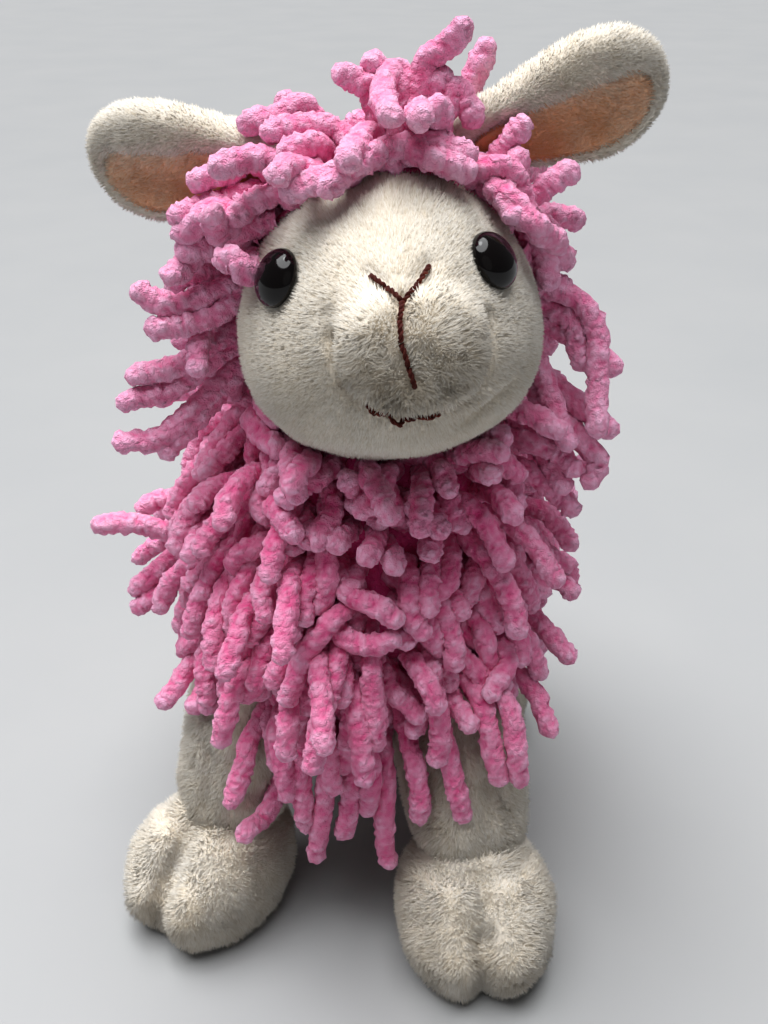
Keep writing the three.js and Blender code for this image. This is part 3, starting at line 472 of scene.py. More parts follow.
bumped = add_node(
    fibre_grain, "ShaderNodeBump",
    {"Height": both.outputs["Result"], "Strength": grain_in["Depth"], "Distance": grain_in["Distance"]},
)
fibre_grain.links.new(bumped.outputs["Normal"], grain_out["Normal"])
fibre_grain.links.new(crease.outputs["Result"], grain_out["Crease"])
print("node groups", [group.name for group in bpy.data.node_groups])

# %% [markdown]
# ## Finishes
# Plush and chenille are both pile: they get a diffuse base, sheen for the fuzz that catches light
# at grazing angles, and the two groups above. The share of height along each tuft or strand lump
# comes with the mesh as a named attribute.

# %% Materials
def pile_finish(name, colours, patch, grain, sheen, crease=0.0, roughness=0.9):
    """A finish of fibres: colours at root, tip and stain, a patch and a grain setting."""
    material = bpy.data.materials.new(name)
    material.use_nodes = True
    tree = material.node_tree
    shader = tree.nodes["Principled BSDF"]
    height = add_node(tree, "ShaderNodeAttribute", attribute_name="tip").outputs["Fac"]
    colour = add_node(tree, "ShaderNodeGroup", {"Height": height}, node_tree=pile_colour)
    for label, value in zip(("Root", "Tip", "Stain"), colours):
        colour.inputs[label].default_value = (*value, 1)
    for label, value in zip(("Patch size", "Patch strength"), patch):
        colour.inputs[label].default_value = value
    surface = add_node(tree, "ShaderNodeGroup", node_tree=fibre_grain)
    for label, value in zip(("Grain size", "Lump size", "Lump share", "Depth", "Distance"), grain):
        surface.inputs[label].default_value = value
    # Painted shade: the creases between the grain's lumps take the root colour, as much as crease asks for.
    shade = add_node(
        tree, "ShaderNodeMath", {0: surface.outputs["Crease"], 1: crease}, operation="MULTIPLY"
    )
    creased = mixed(tree, shade.outputs["Value"], colour.outputs["Color"], (*colours[0], 1))
    tree.links.new(creased, shader.inputs["Base Color"])
    tree.links.new(surface.outputs["Normal"], shader.inputs["Normal"])
    shader.inputs["Roughness"].default_value = roughness
    shader.inputs["Sheen Weight"].default_value = sheen
    shader.inputs["Sheen Roughness"].default_value = 0.5
    shader.inputs["Sheen Tint"].default_value = (*colours[1], 1)
    shader.inputs["Specular IOR Level"].default_value = 0.15
    return material


cream_plush = pile_finish(
    "cream plush", [(0.60, 0.50, 0.36), (0.90, 0.86, 0.79), (0.90, 0.84, 0.75)],
    (38.0, 0.5), (1800.0, 500.0, 0.0, 0.25, 0.0004), 0.2,
)
peach_velour = pile_finish(
    "peach velour", [(0.92, 0.35, 0.11), (0.93, 0.79, 0.64), (0.94, 0.80, 0.66)],
    (90.0, 0.5), (3200.0, 700.0, 0.1, 0.4, 0.0004), 0.35,
)
pink_chenille = pile_finish(
    "pink chenille", [(0.82, 0.05, 0.24), (0.97, 0.52, 0.73), (0.96, 0.80, 0.93)],
    (45.0, 0.3), (2400.0, 640.0, 0.45, 1.0, 0.0012), 0.45, 0.35,
)
white_fibre = pile_finish(
    "stuffing fibre", [(0.8, 0.79, 0.75), (0.95, 0.94, 0.9), (0.9, 0.9, 0.9)],
    (80.0, 0.4), (700.0, 200.0, 0.3, 0.8, 0.001), 0.2,
)
dark_thread = pile_finish(
    "dark red thread", [(0.05, 0.006, 0.004), (0.24, 0.045, 0.026), (0.6, 0.5, 0.5)],
    (300.0, 0.5), (4200.0, 900.0, 0.2, 0.7, 0.0003), 0.2, roughness=0.7,
)


def moulded_finish(name, colour, roughness, coat, shine):
    """Moulded plastic: a faint flow mark in its roughness, and a clear coat where it is polished."""
    material = bpy.data.materials.new(name)
    material.use_nodes = True
    tree = material.node_tree
    shader = tree.nodes["Principled BSDF"]
    place = add_node(tree, "ShaderNodeTexCoord").outputs["Object"]
    marks = add_node(tree, "ShaderNodeTexNoise", {"Vector": place, "Scale": 220.0, "Detail": 4.0})
    spread = add_node(
        tree, "ShaderNodeMapRange",
        {"Value": marks.outputs["Fac"], "To Min": roughness * 0.8, "To Max": roughness * 1.25},
    )
    tree.links.new(spread.outputs["Result"], shader.inputs["Roughness"])
    shade = mixed(tree, marks.outputs["Fac"], (*[value * 0.8 for value in colour], 1), (*colour, 1))
    tree.links.new(shade, shader.inputs["Base Color"])
    shader.inputs["Specular IOR Level"].default_value = shine
    shader.inputs["Coat Weight"].default_value = coat
    shader.inputs["Coat Roughness"].default_value = 0.04
    return material


black_eye = moulded_finish("polished black plastic", (0.003, 0.002, 0.002), 0.09, 0.08, 0.22)
white_washer = moulded_finish("moulded white plastic", (0.8, 0.8, 0.78), 0.45, 0.0, 0.5)
for side in eye_ways:
    washer = frame["nodes"][f"{side}_eye_washer"].data
    washer.materials.clear()
    washer.materials.append(white_washer)
print("finishes", [material.name for material in bpy.data.materials if material.users])

# %% [markdown]
# ## Pile on cloth
# Plush pile is thousands of short fibres that stand in small leaning clumps. A hair system would
# be one way, but hair is lost when the model leaves Blender. Here every clump of fibres is a
# slim pointed tuft in the mesh itself. The tufts borrow most of their shading normals from the
# cloth below, so that the pile looks soft and not like gravel. The cloth lies a little inside
# the form, and the pile fills the space up to it.

# %% Pile helper
cloth_depth = 1.6


def distance_to_path(points, path):
    """How far points lie from a path of straight runs."""
    nearest = np.full(len(points), np.inf)
    for start, end in zip(path[:-1], path[1:]):
        run = end - start
        share = np.clip((points - start) @ run / (run @ run), 0, 1)
        nearest = np.minimum(nearest, np.linalg.norm(points - start - share[:, None] * run, axis=-1))
    return nearest


def grow_pile(
    points, quads, per_mm2, length, width, lean, clump, seed, comb=None, thin=None, curl=None, shade=None
):
    """Tufts over a skin of quads: their points, triangles, height shares and normals.

    At each root comb gives the way the pile lies, thin its length, curl how much it leans about
    and shade its tip share: painted shade in the face's creases, the peach-to-cream tone on an ear lining."""
    draw = np.random.default_rng(seed)
    triangles = np.concatenate([quads[:, [0, 1, 2]], quads[:, [0, 2, 3]]])
    normals = skin_normals(points, quads)
    corners = points[triangles]
    across = np.cross(corners[:, 1] - corners[:, 0], corners[:, 2] - corners[:, 0])
    areas = np.linalg.norm(across, axis=-1) / 2
    count = int(areas.sum() * per_mm2)
    chosen = draw.choice(len(triangles), count, p=areas / areas.sum())
    a, b = draw.random((2, count))
    over = a + b > 1
    a, b = np.where(over, 1 - a, a), np.where(over, 1 - b, b)
    shares = np.stack([1 - a - b, a, b], -1)[..., None]
    roots = (corners[chosen] * shares).sum(1)
    up = unit((normals[triangles[chosen]] * shares).sum(1))
    leans = lean if curl is None else lean * curl(roots)[:, None]
    combed = 0 if comb is None else comb(roots)
    ways = up + combed + leans * noise_vectors(roots, clump, seed)
    ways = unit(ways + 0.22 * draw.normal(size=(count, 3)))
    lengths = length * (0.7 + 0.5 * draw.random(count) + 0.25 * noise(roots, clump * 1.3, seed + 9))
    if thin is not None:
        lengths = lengths * thin(roots)
    standing = (roots[:, 2] > 0.4) & (lengths > 0.15 * length)
    roots, up, ways, lengths = roots[standing], up[standing], ways[standing], lengths[standing]
    count = len(roots)
    tips = roots + ways * lengths[:, None]
    tips[:, 2] = np.maximum(tips[:, 2], 0.15)
    aside = unit(np.cross(up, draw.normal(size=(count, 3))))
    above = np.cross(up, aside)
    angles = np.arange(3) * math.tau / 3
    spokes = np.cos(angles)[:, None] * aside[:, None] + np.sin(angles)[:, None] * above[:, None]
    wide = width * (0.8 + 0.4 * draw.random(count))[:, None, None] / 2
    feet = roots[:, None] + spokes * wide - 0.3 * up[:, None]
    tuft_points = np.concatenate([feet, tips[:, None]], 1).reshape(-1, 3)
    first = np.arange(count)[:, None] * 4
    faces = np.concatenate([first + np.array([[0, 1, 3]]), first + [[1, 2, 3]], first + [[2, 0, 3]]])
    soft = unit(up[:, None] + 0.4 * spokes)
    tuft_normals = np.concatenate([soft, unit(up + 0.45 * ways)[:, None]], 1).reshape(-1, 3)
    tone = np.clip(0.78 + 0.2 * draw.normal(size=count), 0, 1)
    if shade is not None:
        tone = np.clip(tone * shade(roots), 0, 1)
    # Painted shade: a tuft's feet get half its tip share, so it is darker near the root, where little light
    # gets in.
    tuft_heights = np.stack([0.5 * tone, 0.5 * tone, 0.5 * tone, tone], 1).reshape(-1)
    return tuft_points, faces, tuft_heights, tuft_normals


def downward(amount):
    """A comb that lays pile down a little."""
    return lambda roots: np.array([0, 0, -amount])


def plush_piece(
    name, points, quads, pile, body_name="root", stands_for=(),
    finish=cream_plush,
):
    """A skin with its pile as one mesh."""
    normals = skin_normals(points, quads)
    tuft_points, tufts, heights, tuft_normals = grow_pile(points, quads, **pile)
    # The cloth between the tufts takes the same shade, so the face's painted crease shade darkens it too.
    base = 0.6 * np.ones(len(points)) * (pile["shade"](points) if "shade" in pile else 1)
    piece = make_piece(
        name,
        np.concatenate([points, tuft_points]),
        [quads, tufts + len(points)],
        finish,
        body_name,
        stands_for,
        {"tip": np.concatenate([np.clip(base, 0, 1), heights])},
        np.concatenate([normals, tuft_normals]),
    )


# %% [markdown]
# ## Face
# The face is one piece of plush from the hairline down to the throat, sewn round the stuffed
# head. Stitches for the nose pull a shallow furrow, and the cloth creases beside the muzzle. The
# creases are pressed into a fine skin before the pile grows on it. The pile lies away from the
# nose, is short along the stitches and the creases, and stands up in curls on the muzzle. Down in
# the creases it is painted darker, as painted shade.

# %% Face cover
hairline_middle, hairline_swing = 104.0, 31.0


def polar_way(theta, psi):
    """Directions from the tip of the muzzle backwards: theta away from it, psi round it from above."""
    return np.stack([np.sin(theta) * np.sin(psi), -np.cos(theta), np.sin(theta) * np.cos(psi)], -1)


def hairline(psi):
    """How far back the face reaches, as an angle from the tip of the muzzle."""
    return np.radians(hairline_middle - hairline_swing * np.cos(psi))


def line_on(height, spots, lift=0.0):
    """Spots of the picture on the form with that height."""
    return np.array([picture_point(x, y, lift, height) for x, y in spots])


def on_face(spots, lift=0.0):
    return line_on(head.height, spots, lift)


nose_left = [(368, 272), (379, 281), (390, 290), (402, 303)]
nose_right = [(432, 262), (424, 274), (415, 288), (402, 303)]
nose_stem = [(402, 303), (399, 322), (400, 342), (406, 362), (413, 384)]
mouth_line = [(366, 402), (376, 409), (388, 415), (401, 418), (416, 418), (430, 413), (442, 407)]
face_creases = [
    ([(327, 316), (329, 330)], 1.0, 2.2),
    ([(331, 340), (335, 358), (340, 378)], 3.2, 2.0),
    ([(344, 388), (354, 400)], 1.6, 2.4),
    ([(490, 318), (490, 342), (486, 366), (476, 390)], 3.4, 2.0),
    ([(512, 388), (493, 405), (472, 422)], 1.8, 2.8),
    ([(352, 180), (330, 215), (303, 252)], 1.2, 4.0),
    (nose_left, 1.3, 2.0),
    (nose_right, 1.3, 2.0),
    (nose_stem, 2.0, 2.2),
    ([(347, 390), (361, 400), (376, 409), (401, 418), (430, 413), (452, 406), (472, 396)], 3.8, 2.3),
]
face_swells = [
    ((362, 348), 1.4, 9.0), ((448, 344), 1.6, 9.0), ((405, 446), 1.4, 9.0),
    ((300, 400), 1.6, 10.0), ((507, 372), 1.4, 8.0),
]
muzzle_middle, muzzle_half_sizes = np.array([2.4, 0.0, 3.0]), np.array([17.5, 1.0, 14.0])


def muzzle_share(points):
    """1 on the proud egg of the muzzle, 0 beyond the creases round it."""
    local = (points - head.centre) @ head.turn
    away = np.linalg.norm(((local - muzzle_middle) / muzzle_half_sizes)[..., [0, 2]], axis=-1)
    share = np.clip((1.12 - away) / 0.4, 0, 1) * (local[..., 1] < 0)
    return share * share * (3 - 2 * share)


stitch_lines = [on_face(line) for line in (nose_left, nose_right, nose_stem, mouth_line)]
fold_lines = [on_face(line) for line, depth, width in face_creases if depth > 1.5]


def press_creases(points, normals, creases):
    """Points pressed in along creases, each a path with its depth and width."""
    for path, depth, width in creases:
        dent = depth * np.exp(-((distance_to_path(points, path) / width) ** 2))
        points = points - normals * dent[:, None]
    return points


face_rings, face_columns = 110, 190
ring, column = np.mgrid[0:face_rings, 0:face_columns]
psi = math.tau * column / face_columns
theta = hairline(psi) * np.maximum(ring, 0.05) / (face_rings - 1)
face_points = head.skin(polar_way(theta, psi)).reshape(-1, 3)
face_points = face_points - cloth_depth * uphill(head.height, face_points)
face_quads = grid_faces(face_rings, face_columns, wraps=True)
face_up = skin_normals(face_points, face_quads)
for spot, swell, width in face_swells:
    nearness = np.exp(-((face_points - on_face([spot])[0]) ** 2).sum(1) / width**2)
    face_points = face_points + face_up * (swell * nearness)[:, None]
face_points = face_points + face_up * (3.2 * muzzle_share(face_points))[:, None]
face_points = press_creases(face_points, face_up, [(on_face(line), d, w) for line, d, w in face_creases])
face_lumps = 0.3 * noise(face_points, 13, 3) + 0.12 * noise(face_points, 6, 4)
face_points = face_points + face_up * face_lumps[:, None]


def fold_distance(roots):
    """How far roots lie from the nearest deep crease."""
    return np.min([distance_to_path(roots, line) for line in fold_lines], axis=0)


def face_pile_share(roots):
    """Pile length over the face: short on the brow, curly on the muzzle, pressed at the nose."""
    arms = np.min([distance_to_path(roots, line) for line in stitch_lines[:2]], axis=0)
    hidden = np.min([distance_to_path(roots, line) for line in stitch_lines[2:]], axis=0)
    pressed = np.clip((arms - 0.2) / 1.6, 0.12, 1) * np.clip((hidden + 0.2) / 1.8, 0.2, 1)
    folded = np.clip((fold_distance(roots) - 0.9) / 3.0, 0.05, 1)
    return pressed * folded * (0.6 + 0.5 * muzzle_share(roots))


def face_curl(roots):
    """How much the pile leans about: little on the brow, much on the muzzle."""
    return 0.3 + 0.9 * muzzle_share(roots)


def face_comb(roots):
    """Pile is brushed away from the nose, and stands up in curls on the muzzle."""
    away = unit(roots - stitch_lines[2][1])
    strength = (1 - 0.85 * muzzle_share(roots)) * np.clip(fold_distance(roots) / 6, 0, 1)
    return 1.1 * away * strength[:, None]


def face_shade(roots):
    """Painted shade: darker pile down in the creases, where little light gets in."""
    return np.clip(0.1 + fold_distance(roots) / 4, 0, 1)


face_pile = dict(
    per_mm2=5.7, length=2.6, width=0.58, lean=0.9, clump=3.4, seed=11, comb=face_comb,
    thin=face_pile_share, curl=face_curl, shade=face_shade,
)
plush_piece("face_plush", face_points, face_quads, face_pile, stands_for=["face_cover"])

# %% [markdown]
# ## Eyes
# The eyes are black domed buttons with a post, locked by a washer inside the head. Each is a
# turned profile with a rounded rim, set square to the cloth. The pile closes over its edge.

# %% Eyes
def lathe(profile, sides):
    """Turns a profile of (radius, height) about +Z: points and quads."""
    angle = np.arange(sides) * math.tau / sides
    radius, height = np.array(profile, float).T
    ring = np.stack([np.cos(angle), np.sin(angle)], -1)
    heights = np.broadcast_to(height[:, None, None], (len(profile), sides, 1))
    points = np.concatenate([radius[:, None, None] * ring, heights], -1)
    return points.reshape(-1, 3), grid_faces(len(profile), sides, wraps=True)


def facing(normal):
    """Axes whose third points along the normal."""
    normal = unit(np.array(normal, float))
    aside = unit(np.cross([0, 0, 1.0] if abs(normal[2]) < 0.9 else [1.0, 0, 0], normal))
    return np.stack([aside, np.cross(normal, aside), normal], -1)


eye_profile = [(0.01, -9.0), (1.9, -9.0), (2.0, -8.8), (2.0, -1.0), (5.8, -0.9), (6.8, -0.5), (7.0, 0.0)]
eye_profile += [(7.0 * math.cos(a), 4.4 * math.sin(a)) for a in np.linspace(0.06, math.pi / 2 - 0.002, 20)]
for side, way in eye_ways.items():
    spot = head.skin(way[None])
    points, quads = lathe(eye_profile, 56)
    points = points @ facing(uphill(head.height, spot)[0]).T + spot
    make_piece(f"{side}_eye_button", points, [quads], black_eye, stands_for=[f"{side}_eye"])

# %% [markdown]
# ## Embroidery
# Nose and mouth are backstitches in a dark two-ply thread: short runs that rise out of the pile
# and dive back into the cloth. Two thin strands wind round each other along every stitch.

# %% Stitches
def sweep(paths, radii, sides, twist=0.0):
    """Ring points of tubes along paths (n, rings, 3), with radii (n, rings) or (n, rings, sides)."""
    ways = unit(np.gradient(paths, axis=1))
    side = unit(np.cross(ways[:, 0], unit(ways[:, 0] + [0.31, 0.53, 0.79])))
    asides = [side]
    for at in range(1, paths.shape[1]):
        side = unit(side - (side * ways[:, at]).sum(-1, keepdims=True) * ways[:, at])
        asides.append(side)
    aside = np.stack(asides, 1)
    above = np.cross(ways, aside)
    angles = np.arange(sides) * math.tau / sides
    angles = angles[None, None] + (twist * np.arange(paths.shape[1]))[None, :, None]
    spokes = np.cos(angles)[..., None] * aside[:, :, None] + np.sin(angles)[..., None] * above[:, :, None]
    radii = radii if radii.ndim == 3 else radii[..., None]
    return paths[:, :, None] + spokes * radii[..., None]


def tube_faces(count, rings, sides):
    """Quads of a number of tubes whose rings follow each other."""
    quads = grid_faces(rings, sides, wraps=True)
    every = (np.arange(count) * rings * sides)[:, None, None]
    return (every + quads[None]).reshape(-1, 4)


def along(path, count):
    """Points at even spacing along a path of straight runs."""
    path = np.asarray(path, float)
    lengths = np.concatenate([[0], np.cumsum(np.linalg.norm(np.diff(path, axis=0), axis=1))])
    at = np.linspace(0, lengths[-1], count)
    return np.stack([np.interp(at, lengths, path[:, axis]) for axis in range(3)], -1)


cover_heights = head.height(face_points)


def stitch_points(spots, stitches, lift):
    """Centre lines of backstitches: each rises from the cloth and dives back into it."""
    line = along(on_face(spots), stitches * 12 + 1)
    up = uphill(head.height, line)
    nearest = np.argmin(np.linalg.norm(line[:, None] - face_points[None], axis=-1), axis=1)
    line = line + up * cover_heights[nearest, None]
    lines = []
    for stitch in range(stitches):
        part = slice(stitch * 12, stitch * 12 + 13)
        arch = lift - 2.6 * np.abs(np.linspace(-1, 1, 13)) ** 5
        lines.append(line[part] + up[part] * arch[:, None])
    return np.array(lines)


def two_ply(lines, ply_radius, turns_per_mm):
    """Two thin strands that wind round each other along every line, as ring points."""
    rings = 33
    smooth = np.array([along(line, rings) for line in lines])
    length = np.linalg.norm(np.diff(smooth, axis=1), axis=-1).sum(1)
    steps = (length / (rings - 1) * turns_per_mm * math.tau).mean()
    strands = []
    for ply in range(2):
        around = sweep(smooth, np.full(smooth.shape[:2], ply_radius * 0.85), 2, twist=steps)
        strands.append(around[:, :, ply])
    strands = np.concatenate(strands)
    radii = np.full(strands.shape[:2], ply_radius)
    radii[:, [0, -1]] *= 0.3
    return sweep(strands, radii, 8)


def thread_piece(name, lines, ply_radius, node):
    """Two-ply stitches along lines as one mesh, with painted light: lighter where the thread turns outward,
    darker as painted shade on the other side of each ply.
    """
    rings = two_ply(lines, ply_radius, 0.33)
    points = rings.reshape(-1, 3)
    # Painted light and shade round the eight sides of each ply.
    height = np.tile([0.2, 0.6, 1.0, 0.6, 0.2, 0.0, 0.0, 0.1], rings.shape[0] * rings.shape[1])
    faces = tube_faces(rings.shape[0], rings.shape[1], rings.shape[2])
    make_piece(
        name, points, [faces], dark_thread, stands_for=[node], shares={"tip": height}
    )


nose_lines = [
    stitch_points(nose_left, 2, 1.9), stitch_points(nose_right, 2, 2.2),
    stitch_points(nose_stem[:3], 2, 2.8), stitch_points(nose_stem[2:], 2, 2.0),
]
thread_piece("nose_stitches", np.concatenate(nose_lines), 0.35, "nose_embroidery")
thread_piece("mouth_stitches", stitch_points(mouth_line, 3, 2.1), 0.34, "mouth_embroidery")

# %% [markdown]
# ## Legs and feet in plush
# A leg cover is a tube of plush that ends in the ankle seam, where the cloth of leg and foot
# tucks in. A low dome closes its top. A foot cover is drawn in at the toe by one stitch, which
# makes its cleft.

# %% Leg and foot covers
foot_creases = {
    "front_left": [([(200, 812), (186, 834), (172, 868), (158, 905), (152, 936)], 3.2, 4.5)],
    "front_right": [
        ([(484, 938), (483, 962), (482, 985), (482, 998)], 2.0, 3.0), ([(490, 880), (490, 905)], 1.4, 2.6),
        ([(414, 925), (430, 962)], 0.8, 4.0),
    ],
}
leg_creases = {
    "front_right": [
        ([(489, 785), (487, 825), (494, 864)], 1.6, 3.0), ([(503, 790), (512, 830), (515, 860)], 1.2, 3.0),
    ],
    "front_left": [([(205, 745), (212, 780), (205, 808)], 1.2, 3.0)],
}
leg_pile = dict(per_mm2=3.8, length=2.5, width=0.62, lean=0.5, clump=5.0, comb=downward(0.5))
foot_pile = dict(per_mm2=4.2, length=2.6, width=0.62, lean=0.7, clump=4.5, comb=downward(0.3))
leg_rows, leg_columns, foot_rows, foot_columns = 46, 96, 80, 120
ankle_seam_radius, dome_share = 17.0, 0.24


def tube_skin(leg, rows, columns):
    """The leg's tube from its domed top to its ankle, with soft folds that deepen towards the ankle."""
    axis = leg.ankle - leg.hip
    axes = facing(-axis)
    share, angle = np.mgrid[0:rows, 0:columns]
    share = share / (rows - 1) * (1 + dome_share) - dome_share
    angle = angle * math.tau / columns
    around = np.cos(angle)[..., None] * axes[:, 0] + np.sin(angle)[..., None] * axes[:, 1]
    folds = 0.8 * noise(around * 9 + share[..., None] * [1.5, 1.5, 4], 3.4, 21)
    radius = leg.radius(share) - cloth_depth + folds * (0.4 + share)
    radius -= 2.2 * np.clip((share - 0.86) / 0.14, 0, 1) ** 2
    radius *= np.sqrt(np.clip(1 - np.clip(-share / dome_share, 0, 1) ** 2, 0.001, 1))
    return (leg.hip + share[..., None] * axis + around * radius[..., None]).reshape(-1, 3)


def foot_skin(leg, rows, columns):
    """The foot's shoe, drawn in along the ankle seam."""
    foot = leg.foot
    ring, column = np.mgrid[0:rows, 0:columns]
    theta = np.clip(math.pi * ring / (rows - 1), 0.004, math.pi - 0.004)
    points = foot.skin(polar_way(theta, math.tau * column / columns), -cloth_depth).reshape(-1, 3)
    local = (points - leg.ankle) @ foot.turn
    seam = np.abs(np.hypot(local[:, 0], local[:, 1] + 2) - ankle_seam_radius)
    neck = np.clip((points[:, 2] - 20) / 10, 0, 1)
    points[:, 2] -= 2.0 * neck * np.exp(-((seam / 3.0) ** 2))
    return points


for seed, (name, leg) in enumerate(legs.items()):
    dense = 1.0 if name.startswith("front") else 0.6
    points = tube_skin(leg, leg_rows, leg_columns)
    quads = outward(points, grid_faces(leg_rows, leg_columns, wraps=True), (leg.hip + leg.ankle) / 2)
    normals = skin_normals(points, quads)
    lines = [(line_on(leg.height, line), d, w) for line, d, w in leg_creases.get(name, [])]
    points = press_creases(points, normals, lines) + normals * (0.3 * noise(points, 6, 31 + seed))[:, None]
    pile = {**leg_pile, "per_mm2": leg_pile["per_mm2"] * dense, "seed": 40 + seed}
    plush_piece(f"{name}_leg_plush", points, quads, pile, stands_for=[f"{name}_leg_cover"])
    points = foot_skin(leg, foot_rows, foot_columns)
    quads = grid_faces(foot_rows, foot_columns, wraps=True)
    normals = skin_normals(points, quads)
    lines = [(line_on(leg.foot.height, line), d, w) for line, d, w in foot_creases.get(name, [])]
    points = press_creases(points, normals, lines) + normals * (0.5 * noise(points, 8, 51 + seed))[:, None]
    points[:, 2] = np.maximum(points[:, 2], 0.05)
    pile = {**foot_pile, "per_mm2": foot_pile["per_mm2"] * dense, "seed": 60 + seed}
    plush_piece(f"{name}_foot_plush", points, quads, pile, stands_for=[f"{name}_foot_cover"])

# %% [markdown]
# ## Belly panel
# Under the body a plain panel of plush joins the two side fleeces.

# %% Belly
def body_way(across, up):
    """Directions by their angle across from straight ahead and their angle up."""
    return np.stack([np.cos(up) * np.sin(across), -np.cos(up) * np.cos(across), np.sin(up)], -1)


belly_rows, belly_columns, lowest, belly_edge = 26, 110, -89.9, -50.0
row, column = np.mgrid[0:belly_rows, 0:belly_columns]
belly_rise = np.radians(lowest + (belly_edge - lowest) * row / (belly_rows - 1))
belly_ways = body_way(math.tau * column / belly_columns, belly_rise)
belly_points = body.skin(belly_ways, -cloth_depth).reshape(-1, 3)
belly_quads = grid_faces(belly_rows, belly_columns, wraps=True)
belly_pile = dict(per_mm2=1.4, length=2.6, width=0.9, lean=0.6, clump=5.0, seed=81)
plush_piece("belly_plush", belly_points, belly_quads, belly_pile, stands_for=["belly_panel"])

# %% [markdown]
# ## Ears
# An ear is a leaf of plush whose rim rolls round a smoother lining. Its upper half is puffed and
# covers part of the lining, which turns from peach to cream near the tip and that upper edge. It
# is drawn in its own frame, with +X to the tip and +Z across, and then set on the hinge at its
# sewn root.

# %% Ears
hinges = {joint["name"]: joint for joint in frame["joints"]}


def on_hinge(name, tipward):
    """The place of a hinge, and axes with X towards the tip, Y along the hinge and Z across both."""
    turning = unit(np.array(hinges[name]["axis"]))
    tipward = np.array(tipward) - (tipward @ turning) * turning
    axes = np.stack([unit(tipward), turning, np.cross(unit(tipward), turning)], -1)
    return np.array(hinges[name]["pos_m"]) / MM, axes


ear_frames = {
    "left": (*on_hinge("left_ear_hinge", (-0.9601, 0.2755, -0.049)), 1),
    "right": (*on_hinge("right_ear_hinge", (0.9373, 0.0674, 0.3418)), -1),
}
ear_length, ear_half_width, ear_cup, ear_half_thickness = 50.0, 13.0, 4.0, 3.5
leaf_corners, shell_rows, lining_rows = 150, 64, 60
lining_drop = 2.2
lining_shares = [0.002, 0.3, 0.55, 0.7, 0.78, 0.8, 0.76]
lining_heights = [1.25, 1.3, 1.3, 1.3, 1.15, 0.7, 0.3]


def between(p0, p1, p2, p3, t):
    """The Catmull-Rom curve from p1 to p2, at share t of the way."""
    bend = (2 * p0 - 5 * p1 + 4 * p2 - p3) * t**2
    return 0.5 * (2 * p1 + (p2 - p0) * t + bend + (3 * p1 - p0 - 3 * p2 + p3) * t**3)


def smooth_loop(corners, count):
    """A closed smooth curve through corners."""
    corners = np.asarray(corners, float)
    at = np.linspace(0, len(corners), count, endpoint=False)
    first, t = at.astype(int), (at % 1)[:, None]
    return between(*(corners[(first + step) % len(corners)] for step in (-1, 0, 1, 2)), t)


upper = [(-7, 0), (-4.6, 5.2), (2, 7.2), (10, 8.6), (21, 11.7), (32, 13), (41, 11.4), (47, 7.5)]
lower = [(x, -z) for x, z in upper[:0:-1]]
leaf_outline = smooth_loop(upper + [(ear_length, 0)] + lower, leaf_corners)
rim_shares = [0.002, 0.3, 0.55, 0.72, 0.82, 0.91, 0.97, 1.0, 0.97, 0.9, 0.78, 0.6, 0.4, 0.2, 0.002]
rim_heights = [0.2, 0.26, 0.3, 0.62, 1.0, 1.05, 0.6, 0.0, -0.55, -0.8, -0.92, -1.0, -1.03, -1.05, -1.05]
rim_puffed = [2.0, 1.95, 1.8, 1.6, 1.4, 1.05, 0.6, 0.0] + rim_heights[8:]


def leaf_points(shares, heights, puffed, forward, rows):
    """Rings of a leaf that shrink to its middle, cupped across. Heights go towards the front, and
    turn into the puffed ones towards the upper edge."""
    at, steps = np.linspace(0, len(shares) - 1, rows), np.arange(len(shares))
    share, height, puffed = (np.interp(at, steps, row)[:, None] for row in (shares, heights, puffed))
    z = leaf_outline[None, :, 1] * share
    upper_share = np.clip((z - 0.5) / 6.5, 0, 1)
    upper_share = upper_share**2 * (3 - 2 * upper_share)
    height = (height + (puffed - height) * upper_share) * ear_half_thickness
    middle = ear_length * 0.52
    x = middle + (leaf_outline[None, :, 0] - middle) * share
    z = z * (1 + 0.18 * upper_share)
    y = height + ear_cup * (z / ear_half_width) ** 2 * (1 - 0.85 * upper_share)
    return np.stack([x, forward * y, z], -1).reshape(-1, 3)


for side, (hinge, axes, forward) in ear_frames.items():
    def quads_for(rows):
        return grid_faces(rows, leaf_corners, wraps=True)[:, :: -forward]

    shell = leaf_points(rim_shares, rim_heights, rim_puffed, forward, shell_rows)
    quads = quads_for(shell_rows)
    shell += skin_normals(shell, quads) * (0.35 * noise(shell, 6, 91))[:, None]
    shell = shell @ axes.T + hinge

    def tipward(roots):
        return 0.8 * axes[:, 0]

    pile = dict(per_mm2=7.0, length=1.5, width=0.5, lean=0.4, clump=3.0, seed=95 + len(side), comb=tipward)
    plush_piece(f"{side}_ear_plush", shell, quads, pile, f"{side}_ear", [f"{side}_ear_outer"])
    lining = leaf_points(lining_shares, lining_heights, lining_heights, forward, lining_rows)
    lining[:, 2] = 0.8 * lining[:, 2] - lining_drop

    def lining_shade(roots):
        """0 is peach, deep in the ear and low down; 1 is cream, at the tip and the upper edge."""
        local = (roots - hinge) @ axes
        reach, upward = local[:, 0] / ear_length, local[:, 2] / ear_half_width
        return 0.15 + 0.9 * reach + 1.2 * np.clip(upward, 0, 1) + 0.15 * noise(local, 5, 97)

    lining_pile = dict(
        per_mm2=7.0, length=1.4, width=0.48, lean=0.4, clump=3.0, seed=98, comb=tipward, shade=lining_shade
    )
    plush_piece(
        f"{side}_ear_velour", lining @ axes.T + hinge, quads_for(lining_rows), lining_pile, f"{side}_ear",
        [f"{side}_ear_lining"], finish=peach_velour,
    )

# %% [markdown]
# ## Tail
# The tail is a plump stuffed drop, sewn on at the rear seam.

